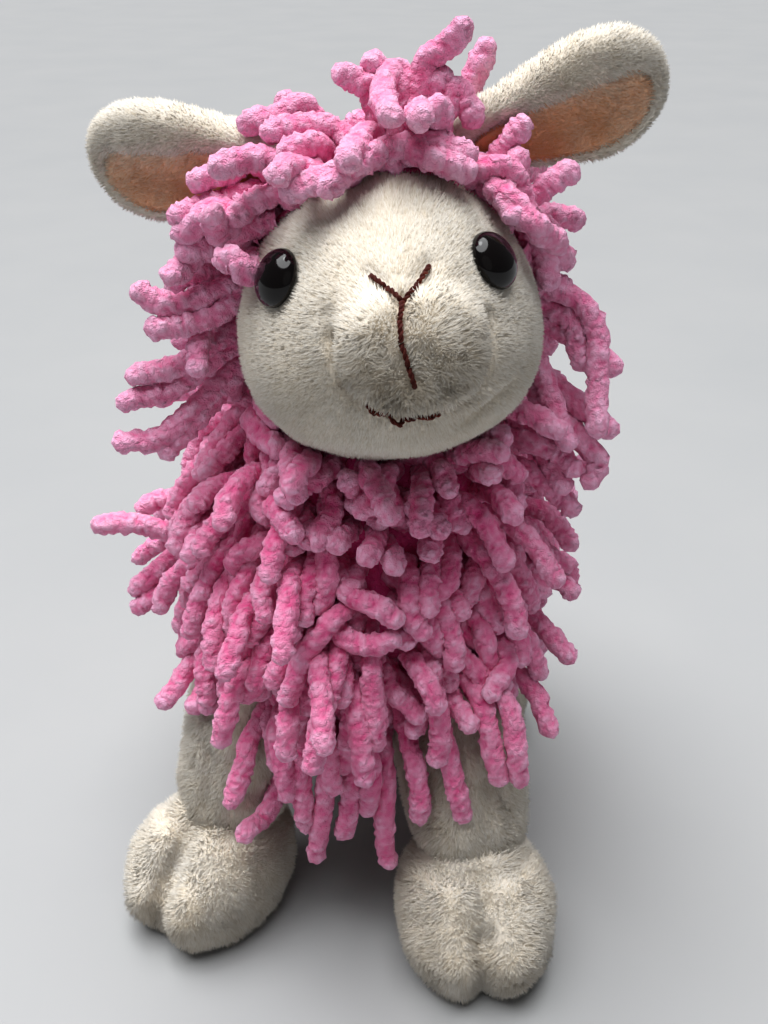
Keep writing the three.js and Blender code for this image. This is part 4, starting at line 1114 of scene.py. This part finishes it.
# %% Tail
tail_slope = math.radians(-18)
tail_hinge, tail_axes = on_hinge("tail_hinge", (0, math.cos(tail_slope), math.sin(tail_slope)))
tail_axes = tail_axes[:, [0, 2, 1]] * [1, -1, 1]
tail_profile = [(5.5 * math.sin(a), -5.5 * math.cos(a)) for a in np.linspace(0.03, math.pi / 2, 9)]
tail_profile += [(5.9, 3.5), (6.3, 7.5), (6.9, 12), (7.3, 16), (7.1, 20), (6.3, 23.5), (4.9, 26.4)]
tail_profile += [(2.8, 28.8), (0.02, 30)]
points, quads = lathe([(max(radius - 1.4, 0.02), height) for radius, height in tail_profile], 64)
points = points[:, [2, 0, 1]]
points += skin_normals(points, quads) * (0.4 * noise(points, 5, 101))[:, None]
tail_pile = dict(per_mm2=4.5, length=2.4, width=0.6, lean=0.6, clump=4.0, seed=103)
plush_piece("tail_plush", points @ tail_axes.T + tail_hinge, quads, tail_pile, "tail", ["tail"])

# %% [markdown]
# ## Stuffing
# Loose polyester fibre fills every cover. It is never seen, but the toy isn't whole without it:
# lumpy forms that stay inside the cloth.

# %% Stuffing forms
def fibre_form(name, points, quads, node):
    """A lumpy form of stuffing from a skin of points and quads."""
    points = points + skin_normals(points, quads) * (0.7 * noise(points, 9, 111) - 0.7)[:, None]
    shares = {"tip": 0.5 + 0.5 * noise(points, 4, 113)}
    piece = make_piece(name, points, [quads], white_fibre, "root", [node], shares)


fibre_rows, fibre_columns = 40, 64
body_fibre_depth, head_fibre_depth = 4.6, 4.8
leg_fibre_depth, foot_fibre_depth, fibre_floor = 5.2, 5.0, 2.6
ring, column = np.mgrid[0:fibre_rows, 0:fibre_columns]
down_share, around_angle = ring / (fibre_rows - 1), math.tau * column / fibre_columns
every_way = polar_way(np.clip(math.pi * down_share, 0.01, math.pi - 0.01), around_angle)
every_quads = grid_faces(fibre_rows, fibre_columns, wraps=True)
body_ways = body_way(around_angle, np.radians(np.clip(-90 + 180 * down_share, -89.5, 89.5)))
points = body.skin(body_ways, -body_fibre_depth).reshape(-1, 3)
fibre_form("body_fibre", points, every_quads, "body_stuffing")
points = head.skin(every_way, -head_fibre_depth).reshape(-1, 3)
fibre_form("head_fibre", points, every_quads, "head_stuffing")
for name, leg in legs.items():
    axes = facing(leg.hip - leg.ankle)
    around = np.cos(around_angle)[..., None] * axes[:, 0] + np.sin(around_angle)[..., None] * axes[:, 1]
    rounding = np.sqrt(1 - (2 * down_share - 1) ** 8)
    wide = np.maximum((leg.radius(down_share) - leg_fibre_depth) * rounding, 0.02)
    tube = leg.hip + (leg.ankle - leg.hip) * down_share[..., None] + around * wide[..., None]
    shoe = leg.foot.skin(every_way, -foot_fibre_depth).reshape(-1, 3)
    shoe[:, 2] = np.maximum(shoe[:, 2], fibre_floor)
    tube_quads = outward(tube.reshape(-1, 3), every_quads, (leg.hip + leg.ankle) / 2)
    quads = np.concatenate([tube_quads, outward(shoe, every_quads, leg.foot.centre) + len(shoe)])
    points = np.concatenate([tube.reshape(-1, 3), shoe])
    fibre_form(f"{name}_leg_fibre", points, quads, f"{name}_leg_stuffing")

# %% [markdown]
# ## Where strands grow
# The fleece is knitted cloth with a thick chenille strand pulled through it every six or seven
# millimetres. Roots are thrown at random over each panel and kept apart, as on the real cloth,
# and kept off the ears, the tail, the legs and the face. Spots stand for the ears and the tail.
# More of them stand where an ear comes down as it flops, and the settled strands avoid those too.

# %% Strand roots
strand_radius, lie_height, leaf_clearance = 2.8, 3.8, 7.5
chest_edge, fleece_edge, fleece_top = 50, -50, 60
strand_spacings = np.array([6.1, 6.7, 6.9, 6.9])
strand_lengths = np.array([29.0, 38.0, 38.0, 38.0])
leaf_halves = [(0, 6), (8, 9.2), (16, 12.4), (24, 12.5), (32, 12.5), (40, 12.5), (46, 6)]
ear_grid = [(x, share * half) for x, half in leaf_halves for share in (-0.7, 0, 0.7)]
leaf_spots, swept_spots = [], []
for hinge, axes, forward in ear_frames.values():
    for x, z in ear_grid:
        leaf_spots.append(np.array([x, 0, z]) @ axes.T + hinge)
        for flop in (10, 20):
            swept_spots.append(turned(flop, "Y") @ np.array([x, 0, z]) @ axes.T + hinge)
for x in (0, 6, 12, 18, 24):
    leaf_spots.append(np.array([x, 0, 0]) @ tail_axes.T + tail_hinge)
swept_spots = np.array(leaf_spots + swept_spots)
leaf_spots = np.array(leaf_spots)


def panel_of(points):
    """0 scalp, 1 chest, 2 left side, 3 right side, for points on the body or head."""
    offset = points - body.centre
    across = np.degrees(np.arctan2(offset[..., 0], -offset[..., 1]))
    return np.where(np.abs(across) < chest_edge, 1, np.where(across < 0, 2, 3))


def throw_roots(draw, taken, spacings):
    """Roots of all panels: points and panel numbers, none nearer than the spacing to another."""
    points, panels = [], []
    heights = [leg.height for leg in legs.values()]
    for panel in ("scalp", "body"):
        ways = unit(draw.normal(size=(16000, 3)))
        form, other = (head, body) if panel == "scalp" else (body, head)
        spots = form.skin(ways, -1.0)
        clear = other.height(spots) > 1.0
        for height in heights:
            clear &= height(spots) > 1.5
        to_leaves = np.linalg.norm(spots[:, None] - leaf_spots[None], axis=-1)
        clear &= np.min(to_leaves, axis=1) > leaf_clearance
        if panel == "scalp":
            theta = np.arccos(np.clip(-ways[:, 1], -1, 1))
            psi = np.arctan2(ways[:, 0], ways[:, 2])
            clear &= theta > hairline(psi) + 0.05
        else:
            clear &= ways[:, 2] > math.sin(math.radians(fleece_edge + 1))
        for spot in spots[clear]:
            number = 0 if panel == "scalp" else int(panel_of(spot))
            if np.min(np.linalg.norm(taken - spot, axis=1)) >= spacings[number]:
                taken = np.concatenate([taken, spot[None]])
                points.append(spot)
                panels.append(number)
    return np.array(points), np.array(panels)


# %% [markdown]
# ## Strands that the picture shows
# The strands that draw the toy's outline, its fringe and the front of its chest are placed one by
# one. Each is a path over the picture from root to tip, with its height over the cloth at root
# and tip.

# %% Placed strands
fringe = [
    ([(419, 84), (426, 63), (442, 50), (459, 32), (468, 16)], 2, 10),
    ([(407, 122), (411, 99), (430, 86), (453, 71)], 2, 12),
    ([(380, 122), (373, 96), (357, 80), (331, 70)], 2, 10),
    ([(403, 73), (390, 76), (382, 100), (395, 119)], 4, 15),
    ([(455, 90), (468, 107), (480, 128)], 3, 8),
    ([(392, 153), (422, 142), (453, 149), (478, 160)], 3, 7),
    ([(497, 166), (503, 149), (518, 130), (530, 118)], 2, 9),
    ([(526, 210), (535, 195), (558, 178), (580, 166)], 2, 10),
    ([(484, 176), (497, 190), (516, 204), (533, 224), (562, 248)], 2, 8),
    ([(330, 106), (303, 107), (280, 118), (257, 121), (238, 131)], 2, 12),
    ([(332, 138), (318, 146), (303, 147), (276, 155)], 2, 11),
    ([(370, 133), (357, 146), (349, 158), (341, 167)], 4, 9),
    ([(347, 173), (318, 181), (295, 190), (279, 197)], 3, 8),
    ([(269, 152), (250, 162), (226, 172), (186, 184)], 2, 11),
    ([(266, 187), (250, 192), (211, 205), (169, 217)], 2, 12),
    ([(272, 215), (242, 231), (219, 244), (196, 248), (175, 256)], 2, 9),
    ([(248, 274), (233, 259), (214, 264)], 3, 10),
    ([(400, 148), (425, 157), (452, 165), (477, 175)], 3, 5),
    ([(468, 160), (490, 178), (507, 200), (517, 224)], 3, 5),
    ([(392, 150), (366, 160), (338, 176), (318, 196)], 3, 5),
]
left_flank = [
    ([(226, 286), (203, 296), (177, 305), (152, 300), (131, 285)], 3, 22),
    ([(234, 302), (212, 317), (177, 326), (143, 329)], 3, 20),
    ([(196, 357), (177, 367), (152, 372), (124, 377)], 4, 20),
    ([(170, 390), (140, 396), (116, 407)], 4, 18),
    ([(169, 431), (134, 441), (111, 443)], 4, 18),
    ([(193, 422), (177, 439), (160, 459)], 6, 20),
    ([(246, 431), (221, 457), (201, 480)], 4, 18),
    ([(288, 444), (276, 474), (259, 495)], 4, 16),
    ([(165, 500), (148, 505), (137, 514)], 6, 16),
    ([(190, 566), (163, 588), (132, 613)], 5, 18),
    ([(208, 640), (184, 676), (158, 709)], 5, 16),
    ([(228, 652), (208, 686), (188, 714)], 4, 14),
]
right_flank = [
    ([(536, 278), (556, 284), (573, 290)], 4, 16),
    ([(577, 299), (596, 328), (598, 360), (597, 394), (598, 440)], 6, 22),
    ([(572, 321), (579, 350), (587, 372)], 4, 14),
    ([(594, 352), (606, 362), (622, 373)], 5, 20),
    ([(590, 415), (604, 425), (620, 433)], 5, 20),
    ([(594, 454), (596, 472), (584, 490)], 5, 18),
    ([(536, 360), (550, 394), (562, 428), (570, 453)], 4, 16),
    ([(507, 486), (543, 479), (577, 467), (590, 460)], 4, 16),
    ([(538, 508), (562, 530), (575, 552)], 5, 16),
    ([(536, 562), (560, 580), (577, 599)], 5, 16),
    ([(532, 618), (556, 642), (574, 664)], 5, 15),
    ([(526, 682), (543, 714), (554, 739)], 4, 14),
]
chest_front = [
    ([(278, 555), (264, 586), (266, 625)], 3, 16),
    ([(320, 552), (313, 571), (304, 598), (307, 628)], 3, 15),
    ([(269, 644), (277, 670), (287, 700)], 3, 15),
    ([(274, 710), (275, 745), (280, 773)], 3, 14),
    ([(323, 650), (306, 693), (291, 736)], 3, 15),
    ([(339, 685), (326, 716), (307, 744)], 3, 14),
    ([(375, 650), (372, 670), (369, 716), (363, 758)], 3, 14),
    ([(393, 675), (416, 693), (421, 713), (409, 739)], 3, 15),
    ([(431, 670), (454, 701), (475, 733)], 3, 14),
    ([(433, 555), (428, 586), (430, 619)], 3, 16),
    ([(323, 590), (339, 632), (370, 645), (401, 635)], 3, 15),
    ([(339, 567), (350, 594), (378, 607), (404, 625)], 3, 17),
    ([(445, 586), (457, 604), (466, 620)], 3, 15),
    ([(254, 730), (243, 769), (228, 810)], 3, 14),
    ([(272, 803), (252, 825), (237, 842)], 3, 12),
]
hanging = [
    ([(330, 765), (322, 815), (315, 861)], 1), ([(300, 755), (303, 800), (307, 830)], 1),
    ([(385, 780), (384, 830), (389, 867)], 1), ([(440, 735), (455, 785), (465, 821)], 1),
    ([(480, 710), (493, 755), (501, 784)], 1), ([(506, 715), (516, 755), (520, 786)], 3),
    ([(276, 740), (285, 775), (288, 801)], 1), ([(352, 770), (350, 805), (342, 838)], 1),
    ([(410, 760), (420, 795), (418, 822)], 1), ([(238, 690), (226, 720), (219, 746)], 2),
    ([(366, 740), (372, 780), (366, 815)], 1), ([(432, 690), (440, 730), (436, 765)], 1),
]
end_on = [
    (304, 549), (338, 548), (361, 563), (405, 650), (350, 512), (384, 530), (420, 514), (446, 538),
    (395, 572), (430, 560), (345, 604), (385, 612),
]
hang_front = box_shift[1] - 84.0
placed = [(path, low, high, 0) for path, low, high in fringe]
placed += [(path, low, high, 2) for path, low, high in left_flank]
placed += [(path, low, high, 3) for path, low, high in right_flank]
placed += [(path, low, high, 1) for path, low, high in chest_front]
for count, (x, y) in enumerate(end_on):
    aside, above = 16 * math.sin(7.0 * count), 10 + 24 * abs(math.cos(5.0 * count))
    bend = 5 * math.cos(3.0 * count)
    path = [(x + aside, y - above), (x + aside / 2 + bend, y - above / 2), (x, y)]
    placed.append((path, 3, 13 + 4 * math.sin(count), 1))
strand_nodes = 11


def spline(points, count):
    """An open smooth curve through each row of points (n, knots, 3), at even shares."""
    before, after = 2 * points[:, :1] - points[:, 1:2], 2 * points[:, -1:] - points[:, -2:-1]
    points = np.concatenate([before, points, after], 1)
    runs = points.shape[1] - 3
    at = np.linspace(0, runs, count)
    first = np.minimum(at.astype(int), runs - 1)
    return between(*(points[:, first + step] for step in range(4)), (at - first)[None, :, None])


def beyond_hairline(points):
    """How far behind the hairline points lie on the head, as an angle."""
    ways = unit((points - head.centre) @ head.turn)
    return np.arccos(np.clip(-ways[..., 1], -1, 1)) - hairline(np.arctan2(ways[..., 0], ways[..., 2]))


def root_under(form, spot):
    """The places on a form's cloth straight below spots."""
    return spot - (form.height(spot) + 1.0)[:, None] * uphill(form.height, spot)


def upper_height(points):
    """Height over the body or the head, without the legs."""
    return np.minimum(body.height(points), head.height(points))


def nearest_on_ray(x, y, lift, before):
    """The spot on a picture ray that is nearest to the knot before it, yet clear of the toy."""
    points = camera_place + np.arange(150.0, 470.0, 0.5)[:, None] * picture_ray(x, y)
    away = np.linalg.norm(points - before, axis=1) + 1000 * (upper_height(points) < lift)
    return points[np.argmin(away)]


placed_lines, placed_panels = [], []
for path, low, high, panel in placed:
    lifts = low + (high - low) * np.linspace(0, 1, len(path)) ** 0.7
    form_height = head.height if panel == 0 else toy_height
    if panel < 2:
        knots = np.array([picture_point(x, y, lift, form_height) for (x, y), lift in zip(path, lifts)])
    else:
        knots = picture_point(*path[0], low, upper_height)[None]
    start = knots[:1]
    on_head = panel == 0 or head.height(start)[0] < body.height(start)[0]
    root = root_under(head if on_head else body, start)
    short = beyond_hairline(start)[0] - 0.05
    if on_head and short < 0:
        way = unit((start - head.centre) @ head.turn)[0]
        root = head.skin(polar_way(math.acos(-way[1]) - short, math.atan2(way[0], way[2])), -1.0)[None]
    if panel > 1:
        knots = [nearest_on_ray(*path[0], 0.5 * low, root[0])]
        for (x, y), lift in zip(path[1:], lifts[1:]):
            knots.append(nearest_on_ray(x, y, 0.6 * lift, knots[-1]))
        knots = np.array(knots)
    knots = np.concatenate([root, knots if low > 2.5 else knots[1:]])
    placed_lines.append(along(spline(knots[None], 40)[0], strand_nodes))
    placed_panels.append(0 if on_head else max(1, int(panel_of(root[0]))))
for path, panel in hanging:
    knots = []
    for x, y in path:
        ray = picture_ray(x, y)
        knots.append(camera_place + ray * (hang_front - camera_place[1]) / ray[1])
    knots = np.array(knots)
    knots[0, 1] += 6
    root = root_under(body, knots[:1])
    placed_lines.append(along(spline(np.concatenate([root, knots])[None], 40)[0], strand_nodes))
    placed_panels.append(panel)
placed_lines, placed_panels = np.array(placed_lines), np.array(placed_panels)
placed_lengths = np.linalg.norm(np.diff(placed_lines, axis=1), axis=-1).sum(1)
shortest, longest = placed_lengths.min().round(1), placed_lengths.max().round(1)
print(len(placed_lines), "placed strands, length", shortest, "to", longest)

# %% [markdown]
# ## All other strands
# The rest grow from their roots with a comb, some sag and a curl of their own, and are then
# settled: in small steps strands push each other apart and are pushed out of the toy, while they
# keep their length and try to keep their shape. Blender's cloth could do this for a few ribbons,
# but not for nearly five hundred thick strands in a few seconds.

# %% Grow the strands
combs = np.array([(-0.75, -0.2, 0.05), (0.0, -0.3, -0.12), (-0.1, -0.15, -0.3), (0.1, -0.15, -0.3)])
throat_height, throat_share = 138, 0.75


def comb_at(roots, panels):
    """The way in which strands lie at their place on the toy."""
    temple = (panels == 0) & (roots[:, 2] < head.centre[2] + 12)
    right_crown = (panels == 0) & (roots[:, 0] > head.centre[0] + 14)
    low_chest = (panels == 1) & (roots[:, 2] < throat_height)
    throat = (panels == 1) & (roots[:, 2] > throat_height)
    fringe_row = (panels == 0) & (beyond_hairline(roots) < 0.4) & ~temple
    comb = combs[panels] + right_crown[:, None] * np.array([1.2, 0, 0])
    comb = comb - low_chest[:, None] * np.array([0, 0, 0.35])
    comb = comb + fringe_row[:, None] * np.array([0, 0.15, 0.1])
    comb = comb + throat[:, None] * np.array([0, -0.5, 0.55])
    side = np.sign(roots[:, 0] - head.centre[0])
    to_temple = np.stack([0.2 + 0.35 * side, 0.1 + 0 * side, -0.3 + 0 * side], -1)
    return comb + temple[:, None] * to_temple


def grow_strands(draw, roots, panels, reach):
    """Strands from their roots, with the comb, the sag and a curl of their own."""
    out = np.where((panels == 0)[:, None], uphill(head.height, roots), uphill(body.height, roots))
    sags = np.where(panels == 0, 0.13, np.interp(roots[:, 2], [60, 110, 175], [0.32, 0.24, 0.1]))
    ways = unit(out + comb_at(roots, panels) + 0.58 * draw.normal(size=out.shape))
    facing_in = (ways * out).sum(-1, keepdims=True)
    ways = unit(ways + out * np.maximum(0, 0.35 - facing_in))
    spread = np.clip(1 + 0.1 * draw.normal(size=len(roots)), 0.75, 1.2)
    lengths = reach * strand_lengths[panels] * spread
    lengths[(panels == 1) & (roots[:, 2] > throat_height)] *= throat_share
    steps = lengths / (strand_nodes - 1)
    curl_axes = unit(np.cross(ways, draw.normal(size=ways.shape)))
    curl_turns = draw.normal(size=len(roots)) * 0.2
    curl_waves = draw.uniform(0.3, 1.5, len(roots))
    lines = [roots]
    for node in range(1, strand_nodes):
        lines.append(lines[-1] + ways * steps[:, None])
        turn = curl_turns * np.cos(math.pi * curl_waves * node / strand_nodes)
        ways = ways + np.cross(curl_axes, ways) * turn[:, None]
        ways[:, 2] -= sags
        ways = unit(ways)
    return np.stack(lines, 1)


draw = np.random.default_rng(7)
roots, panels = throw_roots(draw, placed_lines[:, 0], strand_spacings)
all_lines = np.concatenate([placed_lines, grow_strands(draw, roots, panels, 1.0)])
all_panels = np.concatenate([placed_panels, panels])
print(len(roots), "grown strands", np.bincount(all_panels), "in each panel")


# %% Settle the strands
def near_pairs(points, owners, reach):
    """Pairs of points of different strands nearer than reach."""
    pairs = []
    squares = (points**2).sum(1)
    for start in range(0, len(points), 800):
        block = slice(start, start + 800)
        gaps = squares[block, None] + squares[None] - 2 * points[block] @ points.T
        first, second = np.nonzero(gaps < reach * reach)
        first = first + start
        keep = (first < second) & (owners[first] != owners[second])
        pairs.append(np.stack([first[keep], second[keep]], 1))
    return np.concatenate(pairs)


def settle(lines, fixed, rounds, gap=5.3, memory=0.05):
    """Strands push each other apart and out of the toy, and keep their length."""
    rest = lines.copy()
    count, nodes = lines.shape[:2]
    owners = np.repeat(np.arange(count), nodes)
    lengths = np.linalg.norm(np.diff(lines, axis=1), axis=-1)
    loose = np.ones((count, nodes, 1))
    loose[fixed] = 0
    loose[:, 0] = 0
    loose[:, 1] = 0.3 * loose[:, 1]
    weight = loose.reshape(-1, 1)
    for turn in range(rounds):
        lines = lines + memory * loose * (rest - lines)
        points = lines.reshape(-1, 3)
        if turn % 5 == 0:
            pairs = near_pairs(points, owners, gap + 3)
        away = points[pairs[:, 0]] - points[pairs[:, 1]]
        distance = np.linalg.norm(away, axis=1, keepdims=True) + 1e-6
        push = 0.42 * np.maximum(0, gap - distance) * away / distance
        shove = np.zeros_like(points)
        np.add.at(shove, pairs[:, 0], push)
        np.add.at(shove, pairs[:, 1], -push)
        points = points + np.clip(shove, -1.2, 1.2) * weight
        lines = points.reshape(count, nodes, 3)
        if turn % 2 == 0:
            height = toy_height(points)
            deep = np.flatnonzero((height < lie_height) & (weight[:, 0] > 0.5))
            points[deep] += uphill(toy_height, points[deep]) * (lie_height - height[deep])[:, None]
            gaps = points[:, None] - swept_spots[None]
            distance = np.linalg.norm(gaps, axis=-1)
            close = np.argmin(distance, axis=1)
            nearest = distance[np.arange(len(points)), close]
            hit = np.flatnonzero((nearest < leaf_clearance) & (weight[:, 0] > 0.5))
            points[hit] += 0.5 * unit(gaps[hit, close[hit]]) * (leaf_clearance - nearest[hit])[:, None]
            points[:, 2] = np.maximum(points[:, 2], strand_radius + 0.2)
            lines = points.reshape(count, nodes, 3)
        smooth = (lines[:, :-2] + lines[:, 2:]) / 2 - lines[:, 1:-1]
        lines[:, 1:-1] += 0.2 * smooth * loose[:, 1:-1]
        for node in range(1, nodes):
            run = lines[:, node] - lines[:, node - 1]
            held = lines[:, node - 1] + unit(run) * lengths[:, node - 1, None]
            lines[:, node] += (held - lines[:, node]) * (loose[:, node] > 0)
    return lines


def hides(lines, spot, radius):
    """Strands that would hang between the camera and a round patch of the face."""
    away = spot - camera_place
    sight, offset = unit(away), lines - camera_place
    nearer = offset @ sight < np.linalg.norm(away) + 4
    aside = np.linalg.norm(np.cross(offset, sight), axis=-1)
    return (nearer & (aside < radius)).any(1)


face_clearance, eye_clearance, ear_clearance = 26.0, 11.0, 5.2


def over_face(lines):
    """Strands that would hang over the face or an eye."""
    over = hides(lines, head.centre + [0, -8, -2], face_clearance)
    for way in eye_ways.values():
        over |= hides(lines, head.skin(way[None])[0], eye_clearance)
    return over


def in_sweep(lines):
    """Strands that an ear would cut through as it flops."""
    gaps = np.linalg.norm(lines[:, :, None] - swept_spots[None, None], axis=-1)
    return gaps.min((1, 2)) < ear_clearance


fixed, settle_rounds = np.arange(len(placed_lines)), 60
settled = settle(all_lines, fixed, settle_rounds)
print("settled", settled.shape[0], "strands, moved up to", np.abs(settled - all_lines).max().round(1), "mm")
left_out = over_face(settled) | in_sweep(settled)
left_out[fixed] = False
settled, all_panels = settled[~left_out], all_panels[~left_out]
print("left out", left_out.sum(), "strands that would hang over the face or meet a flopping ear")

# %% [markdown]
# ## Fill the bare spots
# Where the strands part, bare cloth would show. So roots are thrown once more, this time wherever
# no strand lies near, and shorter strands grow from them between the others, which stay.

# %% Fill the bare spots
bare_gap, most_strands, fill_reach, fill_rounds = 7.4, 144, 0.72, 40
cover = settled[:, 2:].reshape(-1, 3)
roots, panels = throw_roots(draw, cover, np.full(4, bare_gap))
barest_first = np.argsort(-np.min(np.linalg.norm(roots[:, None] - cover[None], axis=-1), axis=1))
room = most_strands - np.bincount(all_panels)
print(len(roots), "bare spots, room for", room, "strands in each panel")
picked = [barest_first[panels[barest_first] == panel][:room[panel]] for panel in range(4)]
picked = np.concatenate(picked)
fill_lines = grow_strands(draw, roots[picked], panels[picked], fill_reach)
fixed = np.arange(len(settled))
fill_lines = settle(np.concatenate([settled, fill_lines]), fixed, fill_rounds)[len(settled):]
clear = ~over_face(fill_lines) & ~in_sweep(fill_lines)
settled = np.concatenate([settled, fill_lines[clear]])
all_panels = np.concatenate([all_panels, panels[picked][clear]])
print(clear.sum(), "short strands fill bare spots, now", np.bincount(all_panels), "in each panel")

# %% [markdown]
# ## Chenille
# A chenille strand is a core with short pile all round, so it is a soft tube with small lumps and
# a blunt, rounded end. The lumps are in the mesh, and the same noise gives the colour: painted light
# makes the peaks pale and frosted, and painted shade keeps the creases between them deep pink. A
# strand also gets lighter from its root, where painted shade falls, to its frosted end, and each
# panel gets its own painted light, lightest on the head and darkest on the chest.

# %% Strand meshes
strand_rings, strand_sides = 44, 15
scalp_rows, scalp_columns, side_rows, side_columns, knit_depth = 40, 120, 44, 70, 0.8


def billow(points, size, seed):
    """Rounded heaps with creases between them, from 0 to 1."""
    return np.clip(1.8 * np.abs(noise(points, size, seed)), 0, 1)


def strand_tubes(lines, seed, panel_light):
    """Lumpy tubes with rounded ends along settled lines: ring points and height shares, with painted light
    on the lumps' peaks and painted shade in the creases between them.
    """
    centre = spline(lines, strand_rings)
    count = len(centre)
    share = np.linspace(0, 1, strand_rings)
    length = np.linalg.norm(np.diff(centre, axis=1), axis=-1).sum(1)
    from_tip = (1 - share)[None] * length[:, None] / strand_radius
    rounding = np.sqrt(np.clip(1 - np.clip(1 - from_tip / 1.15, 0, 1) ** 2, 0.0004, 1))
    radius = strand_radius * rounding * (1 + 0.05 * np.sin(7 * share + 3))[None]
    angle = np.arange(strand_sides) * math.tau / strand_sides
    chart = np.stack(np.broadcast_arrays(
        strand_radius * np.cos(angle)[None, None], strand_radius * np.sin(angle)[None, None],
        1.3 * (share[None] * length[:, None])[..., None] + 0 * angle,
    ), -1)
    chart = chart + (np.arange(count) * 17.3 + seed)[:, None, None, None]
    lump = 0.55 * billow(chart, 3.0, seed) + 0.45 * billow(chart, 1.9, seed + 1) - 0.42
    lump = lump + 0.1 * np.random.default_rng(seed).normal(size=lump.shape)
    swell = radius[..., None] + 1.3 * lump * np.sqrt(rounding)[..., None]
    rings = sweep(centre, swell, strand_sides)
    # Painted shade near the root, frost at the end, painted light on the lumps' peaks and painted shade in
    # their creases.
    frost_and_light = panel_light + 0.24 * share[None] + 0.3 * np.clip(1.2 - from_tip / 2.0, 0, 1)
    lump_light_and_shade = np.clip(frost_and_light[..., None] + 0.8 * lump, 0, 1)
    return rings, lump_light_and_shade


# Painted light: one yarn in every panel, painted lightest on the lit head and darkest on the chest in the
# shade, with the sides between.
fleece_painted_light = {
    "head_fleece": 0.52, "chest_fleece": 0.26, "left_side_fleece": 0.38, "right_side_fleece": 0.38
}
for panel, (node, panel_light) in enumerate(fleece_painted_light.items()):
    mine = all_panels == panel
    rings, lump_light_and_shade = strand_tubes(settled[mine], 200 + panel, panel_light)
    tubes = tube_faces(rings.shape[0], strand_rings, strand_sides)
    points, heights = rings.reshape(-1, 3), lump_light_and_shade.reshape(-1)
    if panel == 0:
        row, column = np.mgrid[0:scalp_rows, 0:scalp_columns]
        psi = math.tau * column / scalp_columns
        theta = hairline(psi) + (math.pi - 0.01 - hairline(psi)) * row / (scalp_rows - 1)
        cloth = head.skin(polar_way(theta, psi), -knit_depth).reshape(-1, 3)
        cloth_quads = grid_faces(scalp_rows, scalp_columns, wraps=True)
    else:
        panel_edges = {1: (-chest_edge, chest_edge), 2: (-180, -chest_edge), 3: (chest_edge, 180)}
        low, high = panel_edges[panel]
        row, column = np.mgrid[0:side_rows, 0:side_columns]
        across = np.radians(low + (high - low) * column / (side_columns - 1))
        rise = np.radians(fleece_edge + (fleece_top - fleece_edge) * row / (side_rows - 1))
        cloth = body.skin(body_way(across, rise), -knit_depth).reshape(-1, 3)
        cloth_quads = grid_faces(side_rows, side_columns)
    points = np.concatenate([cloth, points])
    # The knitted cloth takes the deep root colour: its own deep pink, kept dark as painted shade between
    # the strands.
    heights = np.concatenate([np.full(len(cloth), 0.0), heights])
    piece = make_piece(
        node.replace("_fleece", "_strands"), points, [cloth_quads, tubes + len(cloth)], pink_chenille,
        "root", [node], {"tip": heights},
    )

# %% [markdown]
# ## Floor and light
# The toy stands on a plain pale floor. Most light comes from a wide, soft sun nearly straight
# above it, a little behind and to the left in the picture, so the tops of the face, the ears and
# the feet are bright and the chest is darker. A small lamp above adds some shine, and a weak one
# in front and the pale sky lift the shadows.

# %% Floor
floor_mesh = bpy.data.meshes.new("floor")
span = 9.0
floor_corners = [(-span, -span, 0), (span, -span, 0), (span, span, 0), (-span, span, 0)]
floor_mesh.from_pydata(floor_corners, [], [(0, 1, 2, 3)])
floor = bpy.data.objects.new("floor", floor_mesh)
bpy.context.scene.collection.objects.link(floor)
floor_finish = bpy.data.materials.new("pale floor")
floor_finish.use_nodes = True
floor_tree = floor_finish.node_tree
floor_place = add_node(floor_tree, "ShaderNodeTexCoord").outputs["Object"]
mottle = add_node(floor_tree, "ShaderNodeTexNoise", {"Vector": floor_place, "Scale": 9.0, "Detail": 4.0})
floor_shade = mixed(floor_tree, mottle.outputs["Fac"], (0.29, 0.295, 0.30, 1), (0.33, 0.33, 0.33, 1))
floor_tree.links.new(floor_shade, floor_tree.nodes["Principled BSDF"].inputs["Base Color"])
floor_tree.nodes["Principled BSDF"].inputs["Roughness"].default_value = 0.6
floor_mesh.materials.append(floor_finish)


# %% Lights
def soft_light(name, place, target, size, watts, colour):
    """A round lamp at a place, turned to a target: size in metres, the rest in millimetres."""
    lamp = bpy.data.lights.new(name, "AREA")
    lamp.shape, lamp.size, lamp.energy, lamp.color = "DISK", size, watts, colour
    light = bpy.data.objects.new(name, lamp)
    bpy.context.scene.collection.objects.link(light)
    aim = unit(np.array(place, float) - np.array(target, float))
    light.matrix_world = Matrix(facing(aim).tolist()).to_4x4()
    light.location = [value * MM for value in place]


soft_sun = bpy.data.lights.new("soft sun", "SUN")
soft_sun.energy, soft_sun.angle, soft_sun.color = 5.8, math.radians(60), (0.98, 0.99, 1.0)
sun = bpy.data.objects.new("soft sun", soft_sun)
bpy.context.scene.collection.objects.link(sun)
sun.matrix_world = Matrix(facing((-0.18, 0.09, 1.0)).tolist()).to_4x4()
soft_light("above", (-120, 60, 1000), (0, -40, 200), 0.24, 1.5, (0.98, 0.99, 1.0))
soft_light("front", (150, -900, 650), (0, 0, 110), 0.9, 0.25, (1.0, 0.98, 0.95))
world = bpy.data.worlds.new("studio")
bpy.context.scene.world = world
world.use_nodes = True
world.node_tree.nodes["Background"].inputs["Color"].default_value = (0.93, 0.95, 1.0, 1)
world.node_tree.nodes["Background"].inputs["Strength"].default_value = 0.11
bpy.context.scene.view_settings.view_transform = "Standard"
print("lights", [light.name for light in bpy.data.lights])
